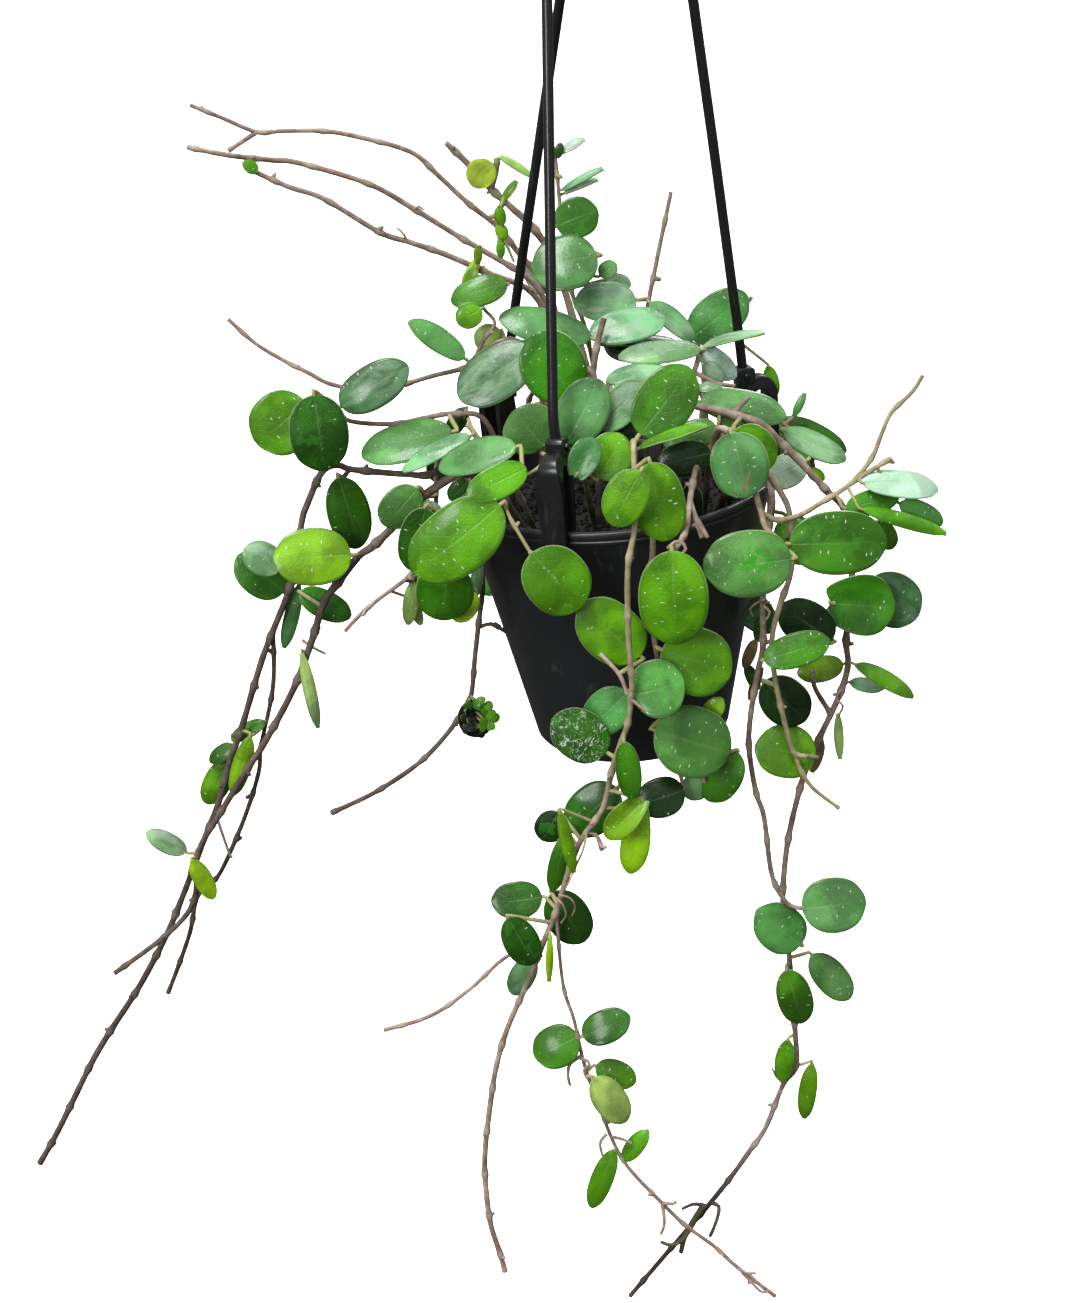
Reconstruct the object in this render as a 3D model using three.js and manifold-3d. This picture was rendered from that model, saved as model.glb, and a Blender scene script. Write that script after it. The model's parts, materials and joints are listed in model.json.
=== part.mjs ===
// Potted trailing hoya in a tapered hanging pot, in millimetres.
// The origin is the inner top of the hook's crook, +Z is up and -Y is towards the viewer.
import * as THREE from "three";
import { mergeVertices } from "three/addons/utils/BufferGeometryUtils.js";
import Module from "manifold-3d";

// Hanger
const HOOK_WIRE = 4.6;
const HOOK_INNER_RADIUS = 9;
const HOOK_SHANK_BOTTOM = -44;
const HUB = { radius: 11, top: -42, bottom: -51 };
const ROD_DIAMETER = 4.5;
const ROD_SEAT_RADIUS = 5.5;
const FIT_GAP = 0.35;

// Pot
const POT_AXIS = [-18, 0];
const RIM_Z = -340;
const RIM_RADIUS = 75;
const LIP_HEIGHT = 6;
const LIP_INNER_RADIUS = 71.6;
const WALL_TOP_RADIUS = 71.4;
const BASE_RADIUS = 46.5;
const POT_HEIGHT = 126;
const WALL = 1.5;
const BASE_THICKNESS = 2.5;
const BASE_CORNER = 3;
const DRAIN_HOLE = { count: 8, radius: 4, ring: 30 };

// Potting mix
const MIX_DROP = 15;
const ROOT_DEPTH = 24;
const ROOT_RISE = 5;
const ROOT_CLEARANCE = 1.1;

// Rim clips: each strap stands over the rim, the rod sits in a block on its inner side
const CLIP_AZIMUTHS = { front: -113, right: 14, rear: 134 };
const CLIP = {
  width: 11,
  innerLeg: [65.4, 68.4],
  outerLeg: [75.8, 80.4],
  top: 35,
  crown: 6,
  innerFoot: -9,
  outerFoot: -10,
  catchReach: 72.6,
  lug: 1.6,
};
const BLOCK = { near: 62, far: 70.6, halfWidth: 4, bottom: 27, top: 40 };
const ROD_SEAT = { radius: 66, height: 32 };

// Leaves and stalks
const BLADE_EDGE = 1.1;
const BLADE_CORE = 2.4;
const BLADE_BOW = 0.07;
const STALK_RADIUS = 1.1;
const SHORTEST_STALK = 1.5;
const BLADE_OUTLINE = [
  [0.14, 0.66],
  [0.46, 1.03],
  [0.82, 0.7],
];
const BLADE_CENTRE = 0.48;

// Colours
const BLACK_PLASTIC = 0x16181a;
const POT_BLACK = 0x1d1f20;
const MIX_BROWN = 0x1b1612;
const LEAF_GREEN = 0x4a7b31;

// The photo's viewpoint: focal length and centre in picture points, eye in millimetres
const VIEW = { focal: 1850, centre: [543, 651.5], eye: [-58.5, -806.7, -59], pitch: 24.44, roll: -5.75 };

// Rods between clip and hub: picture column and row, then millimetres back from the pot's axis
const ROD_BENDS = {
  front: [[553, 420, -60], [551, 300, -50], [549, 150, -38], [547, 0, -25]],
  right: [[737, 320, 14], [734, 300, 13], [714, 150, 9], [693, 0, 5]],
  rear: [[512, 330, 44], [516, 300, 42], [538, 150, 30], [560, 0, 18]],
};

// Vines: root place on the mix from the pot's axis, stem radius, stems as
// [column, row, back] and leaves as [base column, base row, tip column, tip row,
// base back, tip back, width, tilt], where tilt turns the face upward in degrees
const VINES = [
  {
    "name": "vine_high_a", "root": [-10, 50], "radius": 1.8,
    "stems": [
      [[555, 310, 58], [535, 272, 58], [518, 252, 57], [498, 227, 55], [468, 203, 52], [439, 176, 50],
        [411, 152, 46], [359, 137, 40], [322, 131, 36], [282, 131, 32], [257, 132, 30], [220, 117, 26],
        [190, 105, 24]],
      [[257, 132, 30], [228, 151, 27]]],
    "leaves": [[545, 292, 526, 262, 60, 60, 10, 10]],
  },
  {
    "name": "vine_high_b", "root": [-20, 48], "radius": 1.8,
    "stems": [
      [[550, 325, 50], [538, 289, 51], [518, 271, 51], [463, 239, 47], [414, 209, 42], [369, 184, 36],
        [299, 163, 30], [270, 160, 28], [227, 155, 21], [187, 147, 18]]],
    "leaves": [],
  },
  {
    "name": "vine_high_c", "root": [-30, 40], "radius": 1.9,
    "stems": [
      [[545, 330, 44], [535, 296, 46], [520, 285, 46], [491, 274, 42], [444, 254, 37], [409, 242, 32],
        [379, 232, 28], [324, 199, 22], [289, 187, 18], [255, 172, 14]]],
    "leaves": [[257, 172, 243, 162, 13, 12, 6, 20], [479, 258, 463, 286, 38, 37, 5, 0]],
  },
  {
    "name": "vine_cut_shoot", "root": [2, 42], "radius": 2.3,
    "stems": [
      [[563, 285, 48], [538, 234, 48], [513, 209, 46], [491, 189, 44], [466, 162, 42], [446, 143, 40]],
      [[491, 189, 44], [496, 172, 41], [497, 158, 40]],
      [[505, 200, 45], [497, 215, 43], [500, 232, 43], [498, 252, 42]]],
    "leaves": [[488, 186, 473, 160, 38, 36, 13.5, 0], [500, 157, 532, 177, 40, 42, 4, 30],
      [503, 199, 517, 181, 41, 41, 4, 0]],
  },
  {
    "name": "vine_upright", "root": [0, 14], "radius": 1.3,
    "stems": [
      [[588, 340, 20], [574, 300, 20], [566, 262, 18], [565, 240, 16], [560, 206, 14], [556, 163, 13],
        [552, 143, 13]]],
    "leaves": [[560, 153, 585, 139, 12, 12, 4.5, 30], [557, 158, 561, 143, 10, 10, 4, 0],
      [564, 190, 603, 168, 13, 13, 4, 40], [565, 193, 598, 179, 16, 16, 3.5, 40],
      [556, 226, 598, 210, 8, 10, 18, 10], [597, 256, 532, 272, 0, -2, 26, 25],
      [600, 276, 616, 263, 4, 6, 8, 10], [606, 280, 631, 285, 20, 20, 8, 20]],
  },
  {
    "name": "vine_crown_right", "root": [16, 14], "radius": 1.5,
    "stems": [
      [[645, 340, 12], [649, 300, 14], [655, 269, 14], [662, 235, 14], [671, 192, 14]],
      [[645, 340, 12], [622, 325, 6], [600, 330, 2]]],
    "leaves": [[636, 300, 574, 306, 8, 3, 20, 30], [590, 335, 666, 318, -6, -2, 18, 30],
      [650, 303, 694, 340, 8, 6, 10, 20], [604, 345, 678, 342, 4, 8, 9, 60]],
  },
  {
    "name": "vine_crown_left", "root": [-8, -14], "radius": 2.1,
    "stems": [
      [[594, 385, -16], [593, 373, -15], [597, 345, -14], [604, 318, -13]],
      [[593, 373, -15], [565, 360, -13], [540, 345, -10]]],
    "leaves": [[590, 338, 499, 316, -9, -5, 18, 30], [572, 398, 533, 334, -24, -18, 28, 0],
      [532, 350, 459, 399, -15, -20, 25, 20]],
  },
  {
    "name": "vine_left_bare", "root": [-34, 4], "radius": 1.5,
    "stems": [
      [[540, 360, 0], [520, 342, -1], [498, 342, -4], [476, 356, -7], [467, 367, -8], [432, 376, -12],
        [379, 390, -16], [334, 385, -17], [307, 372, -18], [283, 360, -18], [255, 343, -18],
        [228, 319, -18]],
      [[476, 356, -7], [484, 339, -6], [495, 323, -5], [484, 309, -4], [480, 300, -3]]],
    "leaves": [[507, 284, 451, 302, -3, -4, 14, 20], [481, 309, 457, 323, -9, -10, 11, 0],
      [500, 330, 476, 346, 6, 6, 12, 0],
      [464, 358, 409, 321, -12, -14, 12, 30]],
  },
  {
    "name": "vine_left_pair", "root": [-46, -14], "radius": 1.6,
    "stems": [
      [[488, 425, -22], [455, 414, -23], [425, 418, -24], [393, 424, -26], [350, 421, -27],
        [338, 409, -28]]],
    "leaves": [[341, 406, 408, 365, -29, -27, 19, 10], [306, 402, 256, 444, -33, -36, 27, 0],
      [314, 395, 324, 471, -42, -44, 25, 0], [452, 432, 361, 455, -33, -36, 21, 35],
      [470, 436, 402, 471, -42, -46, 10, 40], [466, 408, 448, 436, -19, -19, 8, 0]],
  },
  {
    "name": "vine_left_low", "root": [-52, -26], "radius": 1.7,
    "stems": [
      [[462, 456, -31], [432, 474, -32], [405, 474, -33], [378, 472, -33], [350, 469, -34],
        [337, 465, -34], [322, 472, -34], [307, 505, -34], [302, 521, -34], [291, 583, -34],
        [273, 631, -34], [261, 663, -34], [241, 730, -34], [231, 758, -34], [218, 805, -34],
        [202, 845, -34], [186, 888, -34], [166, 936, -34], [139, 987, -34], [111, 1030, -34],
        [91, 1064, -34], [59, 1129, -34], [40, 1163, -34]],
      [[350, 469, -34], [343, 478, -35]],
      [[273, 631, -34], [273, 686, -28], [261, 746, -27], [259, 770, -27], [249, 805, -27],
        [235, 841, -27], [218, 876, -27], [198, 896, -27], [190, 932, -27], [178, 967, -27],
        [168, 993, -27]]],
    "leaves": [[338, 478, 359, 549, -38, -36, 19, 10], [281, 568, 244, 548, -38, -38, 15, 0],
      [284, 592, 237, 556, -31, -30, 20, 0], [299, 585, 284, 648, -30, -28, 7, 0],
      [265, 722, 231, 740, -29, -29, 8, 20], [233, 745, 210, 762, -31, -31, 8, 20],
      [228, 760, 206, 804, -29, -29, 13, 0], [250, 737, 233, 795, -38, -38, 9, 0]],
  },
  {
    "name": "vine_left_long", "root": [-44, -32], "radius": 2.5,
    "stems": [
      [[481, 474, -38], [455, 476, -43], [415, 503, -43], [393, 527, -43], [372, 547, -43], [359, 556, -43],
        [341, 579, -43], [324, 603, -43], [311, 643, -43], [293, 690, -43], [265, 742, -43],
        [245, 773, -43], [218, 817, -43], [198, 853, -43], [194, 900, -42], [170, 932, -42],
        [115, 973, -42]]],
    "leaves": [[351, 555, 273, 560, -50, -54, 25, 5], [417, 488, 383, 525, -47, -48, 17, -10],
      [300, 592, 351, 617, -34, -34, 13, 0], [302, 654, 318, 728, -46, -46, 6, 0],
      [186, 852, 146, 832, -44, -44, 10, 10], [192, 860, 214, 899, -46, -46, 9, 0]],
  },
  {
    "name": "vine_left_under", "root": [-38, -44], "radius": 1.5,
    "stems": [
      [[512, 484, -50], [488, 486, -57], [466, 496, -58], [445, 520, -58], [425, 550, -57],
        [410, 575, -56], [379, 599, -54], [361, 614, -53], [345, 631, -52]]],
    "leaves": [[425, 508, 412, 571, -64, -62, 17, 0], [446, 562, 442, 621, -63, -60, 25, 0],
      [475, 592, 455, 621, -54, -53, 11, 0], [413, 582, 408, 625, -50, -49, 7, 0],
      [468, 480, 450, 500, -50, -50, 9, 0]],
  },
  {
    "name": "vine_thin_hanging", "root": [-52, -10], "radius": 1.1,
    "stems": [
      [[474, 450, -22], [457, 470, -29], [462, 530, -31], [482, 575, -26], [478, 628, -24],
        [475, 656, -24], [472, 690, -24], [468, 701, -24], [450, 730, -24], [420, 762, -24], [379, 790, -24],
        [349, 805, -24], [331, 813, -24]],
      [[478, 628, -24], [491, 624, -24], [506, 632, -24]]],
    "leaves": [[470, 700, 481, 737, -26, -26, 16, 0], [480, 562, 474, 598, -31, -31, 6, 0]],
  },
  {
    "name": "vine_front_left", "root": [-28, -40], "radius": 1.5,
    "stems": [
      [[556, 458, -46], [536, 470, -50], [512, 486, -70], [506, 508, -80], [530, 552, -88]],
      [[512, 486, -70], [524, 472, -74]]],
    "leaves": [[532, 553, 580, 609, -90, -90, 27, 0], [500, 505, 413, 573, -82, -80, 29, 0],
      [526, 468, 467, 497, -74, -80, 14, 30], [516, 447, 438, 468, -62, -58, 17, 35]],
  },
  {
    "name": "vine_front_main", "root": [8, -34], "radius": 1.9,
    "stems": [
      [[634, 444, -66], [634, 470, -80], [635, 524, -94], [628, 567, -98], [628, 620, -98],
        [630, 661, -98], [632, 687, -97], [628, 722, -95], [620, 745, -94], [612, 769, -93],
        [603, 808, -92], [581, 840, -91], [567, 876, -90], [556, 912, -90], [544, 941, -89],
        [527, 984, -88], [509, 1024, -87], [497, 1063, -87], [490, 1106, -86], [485, 1153, -86],
        [486, 1189, -86], [491, 1225, -86], [500, 1253, -86], [505, 1271, -86]],
      [[630, 661, -98], [615, 671, -92], [600, 653, -90]],
      [[544, 941, -89], [506, 957, -86], [470, 989, -83], [430, 1016, -80], [384, 1030, -78]],
      [[556, 912, -90], [563, 984, -88], [574, 1020, -87], [585, 1067, -86], [597, 1099, -86],
        [612, 1139, -86], [628, 1167, -86], [660, 1201, -86], [685, 1225, -86], [714, 1246, -86],
        [736, 1266, -86], [775, 1296, -86]],
      [[587, 832, -91], [597, 836, -91], [602, 850, -91]]],
    "leaves": [[640, 434, 690, 367, -62, -54, 24, 0], [640, 448, 708, 426, -66, -70, 12, 70],
      [641, 471, 612, 526, -96, -98, 18, 0], [650, 463, 668, 541, -86, -88, 22, 0],
      [640, 656, 580, 604, -85, -84, 25, 0], [632, 695, 684, 680, -94, -93, 25, 0],
      [627, 692, 588, 730, -85, -83, 19, 0], [606, 752, 553, 718, -90, -89, 22, 0],
      [624, 742, 632, 799, -102, -101, 11, 0], [617, 788, 569, 830, -81, -81, 22, 0],
      [641, 801, 606, 838, -98, -98, 13, 0], [640, 812, 630, 874, -87, -87, 13, 0],
      [558, 812, 542, 840, -76, -76, 14, 0], [560, 812, 574, 873, -97, -97, 6, 0],
      [566, 835, 552, 892, -84, -84, 9, 0], [542, 897, 491, 902, -82, -82, 17, 0],
      [508, 918, 534, 964, -95, -95, 16, 0], [552, 893, 585, 942, -81, -81, 20, 0],
      [533, 957, 512, 995, -79, -79, 12, 0], [550, 936, 549, 982, -94, -94, 3.5, 0],
      [578, 1036, 534, 1056, -86, -86, 20, 0], [583, 1036, 630, 1016, -86, -86, 16, 0],
      [596, 1066, 636, 1082, -84, -84, 13, 0], [594, 1078, 626, 1122, -91, -91, 16, 0],
      [624, 1160, 648, 1130, -86, -86, 9, 0], [614, 1150, 591, 1208, -86, -86, 11, 0]],
  },
  {
    "name": "vine_front_second", "root": [22, -44], "radius": 1.7,
    "stems": [
      [[652, 500, -74], [653, 540, -80], [651, 590, -81], [655, 645, -80], [668, 690, -78],
        [688, 730, -76], [700, 760, -74], [704, 782, -74]],
      [[688, 730, -76], [680, 765, -76], [684, 790, -76]]],
    "leaves": [[662, 650, 731, 676, -84, -82, 29, 0], [655, 730, 731, 752, -88, -86, 31, 0],
      [705, 722, 722, 698, -76, -76, 9, 0], [737, 752, 707, 801, -72, -72, 18, 0],
      [690, 774, 702, 799, -70, -70, 13, 0], [684, 790, 637, 804, -78, -80, 18, 0]],
  },
  {
    "name": "vine_front_knot", "root": [34, -42], "radius": 1.8,
    "stems": [
      [[697, 468, -58], [690, 500, -74], [686, 530, -86], [675, 550, -92]],
      [[690, 500, -74], [702, 538, -84]]],
    "leaves": [[672, 551, 675, 645, -95, -95, 29, 0], [690, 484, 694, 515, -66, -66, 9, 0]],
  },
  {
    "name": "vine_crown_front", "root": [-12, -34], "radius": 1.6,
    "stems": [
      [[580, 452, -48], [588, 425, -44], [594, 405, -40]],
      [[580, 452, -48], [560, 448, -42], [548, 440, -38]]],
    "leaves": [[566, 443, 600, 379, -48, -40, 22, 0], [598, 428, 644, 383, -42, -36, 16, 0],
      [612, 452, 620, 410, -38, -36, 17, 0], [598, 478, 622, 434, -58, -54, 19, 0],
      [577, 474, 594, 438, -66, -62, 13, 0], [545, 446, 514, 410, -38, -34, 24, 0]],
  },
  {
    "name": "vine_crown_mid", "root": [20, -10], "radius": 1.8,
    "stems": [
      [[680, 400, -20], [694, 372, -14], [700, 352, -10]],
      [[680, 400, -20], [650, 390, -20]],
      [[694, 372, -14], [716, 383, -17], [735, 386, -18]]],
    "leaves": [[700, 350, 618, 358, -16, -18, 13, 40], [672, 374, 606, 380, -26, -28, 13, 40],
      [704, 347, 765, 333, -10, -12, 9, 65], [699, 348, 736, 378, -10, -8, 11, 10],
      [706, 362, 722, 383, -12, -12, 7, 0], [722, 386, 698, 389, -18, -18, 6, 30]],
  },
  {
    "name": "vine_crown_rear", "root": [42, 30], "radius": 1.6,
    "stems": [
      [[704, 385, 30], [705, 350, 30], [725, 330, 32], [752, 297, 32]]],
    "leaves": [[691, 338, 747, 294, 28, 30, 21, 0], [768, 366, 775, 397, 34, 34, 7, 0]],
  },
  {
    "name": "vine_right_far", "root": [28, -20], "radius": 2,
    "stems": [
      [[684, 402, -30], [696, 406, -34], [730, 414, -38], [760, 423, -42], [783, 445, -44],
        [804, 466, -46], [827, 491, -46], [844, 510, -46], [852, 560, -46], [849, 610, -46],
        [846, 642, -46], [848, 665, -46], [841, 691, -46], [831, 714, -46], [819, 739, -46],
        [804, 775, -48], [791, 825, -50], [785, 863, -52], [783, 905, -53], [789, 955, -54],
        [795, 1031, -54], [796, 1066, -54], [783, 1085, -54], [766, 1127, -54], [749, 1152, -54],
        [731, 1177, -54], [707, 1207, -54], [685, 1232, -54], [642, 1282, -54], [630, 1296, -54]],
      [[733, 415, -38], [738, 408, -38], [749, 397, -38]],
      [[831, 714, -46], [815, 688, -50], [812, 670, -54]]],
    "leaves": [[700, 402, 787, 416, -27, -33, 18, 35], [735, 430, 771, 468, -51, -52, 20, 0],
      [716, 426, 664, 446, -38, -38, 13, 10], [832, 603, 895, 608, -52, -52, 27, 0],
      [868, 582, 917, 618, -42, -42, 24, 0], [856, 665, 914, 697, -50, -50, 9, 30],
      [843, 664, 797, 674, -42, -42, 12, 0], [850, 682, 884, 688, -38, -38, 7, 0],
      [880, 522, 892, 549, -40, -40, 10, 0], [838, 714, 840, 759, -48, -48, 4.5, 0],
      [801, 944, 757, 910, -60, -62, 23, 0], [812, 955, 850, 999, -54, -54, 16, 0],
      [787, 970, 802, 1024, -60, -60, 17, 0], [788, 1040, 782, 1081, -58, -58, 9.5, 0],
      [812, 1064, 804, 1119, -52, -52, 9, 0], [822, 740, 812, 772, -40, -40, 6, 0]],
  },
  {
    "name": "vine_right_mid", "root": [38, -28], "radius": 1.8,
    "stems": [
      [[717, 430, -55], [752, 455, -61], [768, 474, -62], [781, 493, -61], [790, 516, -60],
        [792, 567, -64], [779, 608, -70], [772, 640, -72], [774, 671, -74], [780, 703, -76],
        [790, 742, -76], [795, 754, -76], [805, 756, -76]],
      [[795, 754, -76], [801, 771, -76], [814, 789, -76], [839, 808, -76]]],
    "leaves": [[731, 433, 747, 498, -69, -74, 24, 0], [764, 660, 830, 640, -80, -80, 15, 20],
      [764, 682, 806, 720, -66, -66, 21, 0], [815, 757, 755, 747, -70, -70, 24, 0],
      [832, 640, 780, 606, -60, -60, 20, 0], [711, 453, 657, 466, -49, -48, 15, 0]],
  },
  {
    "name": "vine_right_up", "root": [44, -34], "radius": 2,
    "stems": [
      [[741, 462, -61], [753, 486, -65], [761, 512, -70], [767, 530, -74], [786, 548, -74]],
      [[761, 512, -70], [778, 520, -68], [800, 515, -62], [822, 502, -56], [850, 484, -53],
        [871, 459, -50], [880, 438, -49], [891, 413, -48], [912, 392, -47], [923, 375, -46]],
      [[850, 484, -53], [878, 466, -53], [892, 458, -53]]],
    "leaves": [[791, 559, 703, 567, -82, -84, 28, 0], [790, 544, 888, 541, -76, -72, 27, 0],
      [864, 483, 939, 489, -56, -54, 14, 30], [864, 510, 946, 534, -60, -58, 7, 20],
      [900, 503, 943, 524, -52, -52, 10, 0], [846, 508, 899, 496, -58, -54, 11, 0]],
  },
  {
    "name": "vine_right_hang", "root": [50, -20], "radius": 1.9,
    "stems": [
      [[758, 464, -43], [772, 496, -52], [767, 540, -58], [763, 597, -60], [763, 645, -62],
        [758, 671, -62], [751, 712, -62], [749, 748, -62], [756, 792, -62], [764, 817, -62],
        [772, 875, -61], [787, 903, -60], [802, 908, -60]]],
    "leaves": [[802, 908, 866, 900, -58, -58, 26, 0]],
  },
  {
    "name": "vine_right_crown", "root": [58, -4], "radius": 1.7,
    "stems": [
      [[760, 420, -12], [774, 416, -16], [785, 425, -20], [808, 452, -26], [814, 470, -28]],
      [[785, 425, -20], [795, 415, -20]]],
    "leaves": [[783, 432, 846, 460, -26, -28, 13, 30], [785, 420, 846, 452, -14, -16, 11, 10],
      [794, 416, 805, 393, -20, -20, 4, 0], [806, 461, 764, 481, -38, -38, 15, 0],
      [808, 470, 824, 480, -30, -30, 6, 0]],
  },
];

// Vines on the hidden side: bearing over the rim in degrees, root, drop and leaf pairs
const REAR_VINES = [
  { bearing: 28, root: [48, 36], radius: 1.7, drop: 100, leaves: 4, out: 88 },
  { bearing: 58, root: [24, 44], radius: 1.7, drop: 130, leaves: 5, out: 98 },
  { bearing: 86, root: [10, 56], radius: 1.7, drop: 160, leaves: 6, out: 88 },
  { bearing: 112, root: [-10, 54], radius: 1.7, drop: 120, leaves: 5, out: 98 },
  { bearing: 160, root: [-54, 6], radius: 1.7, drop: 60, leaves: 3, out: 88 },
];

const wasm = await Module();
wasm.setup();
const { Manifold } = wasm;
const vec = (x, y, z) => new THREE.Vector3(x, y, z);
const radians = THREE.MathUtils.degToRad;

// Viewpoint directions, and the place in millimetres behind one picture point
const pitch = radians(VIEW.pitch);
const eye = vec(...VIEW.eye);
const forward = vec(0, Math.cos(pitch), -Math.sin(pitch));
const right = vec(1, 0, 0).applyAxisAngle(forward, -radians(VIEW.roll));
const up = right.clone().cross(forward);

function seen(column, row, back) {
  const across = (column - VIEW.centre[0]) / VIEW.focal;
  const down = (row - VIEW.centre[1]) / VIEW.focal;
  const ray = forward.clone().addScaledVector(right, across).addScaledVector(up, -down);
  return eye.clone().addScaledVector(ray, (back - eye.y) / ray.y);
}

// A three.js geometry as a closed solid that can be joined and cut
function solidOf(geometry) {
  const bare = new THREE.BufferGeometry();
  bare.setAttribute("position", geometry.getAttribute("position"));
  bare.setIndex(geometry.index);
  const merged = mergeVertices(bare, 1e-3);
  const corners = [...merged.index.array];
  const triVerts = [];
  for (let i = 0; i < corners.length; i += 3) {
    const face = corners.slice(i, i + 3);
    if (new Set(face).size === 3) {
      triVerts.push(...face);
    }
  }
  const vertProperties = merged.getAttribute("position").array;
  return new Manifold(new wasm.Mesh({ numProp: 3, vertProperties, triVerts: new Uint32Array(triVerts) }));
}

// A geometry from corner points and triangles
function faceted(points, faces) {
  return new THREE.BufferGeometry().setFromPoints(points).setIndex(faces.flat());
}

const boxSolid = (near, far, halfWidth, bottom, top) =>
  solidOf(
    new THREE.BoxGeometry(far - near, 2 * halfWidth, top - bottom).translate(
      (near + far) / 2,
      0,
      (bottom + top) / 2,
    ),
  );
const crossPin = (radius, length, sides, x, z) =>
  solidOf(new THREE.CylinderGeometry(radius, radius, length, sides).translate(x, 0, z));
const uprightPin = (radius, length, sides, x, y, z) =>
  solidOf(
    new THREE.CylinderGeometry(radius, radius, length, sides).rotateX(Math.PI / 2).translate(x, y, z),
  );

// A solid of revolution from a closed [radius, height] outline that starts and ends on the axis
function turned(outline, sides) {
  const points = outline.map(([radius, height]) => new THREE.Vector2(radius, height));
  return solidOf(new THREE.LatheGeometry(points, sides).rotateX(Math.PI / 2));
}

// A solid bar along points, its radius given at each point
function bar(points, radii, sides) {
  const rings = [];
  let side = vec(0, 0, 0);
  points.forEach((point, i) => {
    const before = points[Math.max(i - 1, 0)];
    const after = points[Math.min(i + 1, points.length - 1)];
    const along = after.clone().sub(before).normalize();
    if (i === 0) {
      side = Math.abs(along.x) < 0.8 ? vec(1, 0, 0) : vec(0, 1, 0);
    }
    side = side.clone().addScaledVector(along, -side.dot(along)).normalize();
    const other = along.clone().cross(side);
    for (let k = 0; k < sides; k++) {
      const turn = (2 * Math.PI * k) / sides;
      const offset = side.clone().multiplyScalar(radii[i] * Math.cos(turn));
      rings.push(point.clone().add(offset).addScaledVector(other, radii[i] * Math.sin(turn)));
    }
  });
  const faces = [];
  for (let i = 0; i + 1 < points.length; i++) {
    for (let k = 0; k < sides; k++) {
      const a = i * sides + k;
      const b = i * sides + ((k + 1) % sides);
      faces.push([a, b, b + sides], [a, b + sides, a + sides]);
    }
  }
  const last = (points.length - 1) * sides;
  for (let k = 1; k + 1 < sides; k++) {
    faces.push([0, k + 1, k], [last, last + k, last + k + 1]);
  }
  return solidOf(faceted(rings, faces));
}

const evenBar = (points, radius, sides) => bar(points, points.map(() => radius), sides);
const joined = (solids) => Manifold.union(solids);

// One leaf: a stalk from the stem that opens into a fleshy blade, which has a bowed fan
// above, the same fan below and a thin wall round the edge
function leafSolid(from, { base, tip, width, tilt }) {
  const along = tip.clone().sub(base);
  const length = along.length();
  along.normalize();
  const toEye = eye.clone().sub(base).normalize();
  const facing = toEye.addScaledVector(along, -toEye.dot(along)).normalize();
  const across = facing.clone().cross(along);
  if (across.dot(up) + 0.3 * across.dot(right) < 0) {
    across.negate();
  }
  const turn = radians(tilt);
  const normal = facing.clone().multiplyScalar(Math.cos(turn)).addScaledVector(across, Math.sin(turn));
  const side = normal.clone().cross(along);
  const place = (t, h, lift) =>
    base
      .clone()
      .addScaledVector(along, length * t)
      .addScaledVector(side, (width / 2) * h)
      .addScaledVector(normal, length * BLADE_BOW * 4 * t * (1 - t) * (1 - 0.6 * h * h) + lift);
  const neck = (2 * STALK_RADIUS) / width;
  const rim = [
    [0, -neck],
    ...BLADE_OUTLINE.map(([t, h]) => [t, -h]),
    [1, 0],
    ...BLADE_OUTLINE.toReversed(),
    [0, neck],
  ];
  const count = rim.length;
  const stalk = base.clone().sub(from).normalize();
  const bend = new THREE.Quaternion().setFromUnitVectors(along, stalk);
  const foot = (h, lift) =>
    from
      .clone()
      .addScaledVector(side.clone().applyQuaternion(bend), h * STALK_RADIUS)
      .addScaledVector(normal.clone().applyQuaternion(bend), lift * STALK_RADIUS);
  const points = [
    ...rim.map(([t, h]) => place(t, h, BLADE_EDGE / 2)),
    ...rim.map(([t, h]) => place(t, h, -BLADE_EDGE / 2)),
    place(BLADE_CENTRE, 0, BLADE_CORE / 2),
    place(BLADE_CENTRE, 0, -BLADE_CORE / 2),
    foot(-1, 0.9),
    foot(-1, -0.9),
    foot(1, -0.9),
    foot(1, 0.9),
  ];
  const faces = [];
  for (let i = 0; i < count; i++) {
    const j = (i + 1) % count;
    faces.push([2 * count, i, j], [2 * count + 1, count + j, count + i]);
    if (j > 0) {
      faces.push([i, count + i, count + j], [i, count + j, j]);
    }
  }
  const [a, b, c, d] = [0, count, 2 * count - 1, count - 1];
  const foots = [0, 1, 2, 3].map((k) => 2 * count + 2 + k);
  [a, b, c, d].forEach((near, k) => {
    const next = [b, c, d, a][k];
    const far = foots[k];
    const farNext = foots[(k + 1) % 4];
    faces.push([near, far, farNext], [near, farNext, next]);
  });
  faces.push([foots[0], foots[2], foots[1]], [foots[0], foots[3], foots[2]]);
  return solidOf(faceted(points, faces));
}

function nearestOn(stems, place) {
  let best = null;
  for (const points of stems) {
    for (let i = 0; i + 1 < points.length; i++) {
      const near = new THREE.Line3(points[i], points[i + 1]).closestPointToPoint(place, true, vec());
      if (!best || near.distanceTo(place) < best.distanceTo(place)) {
        best = near;
      }
    }
  }
  return best;
}

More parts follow.
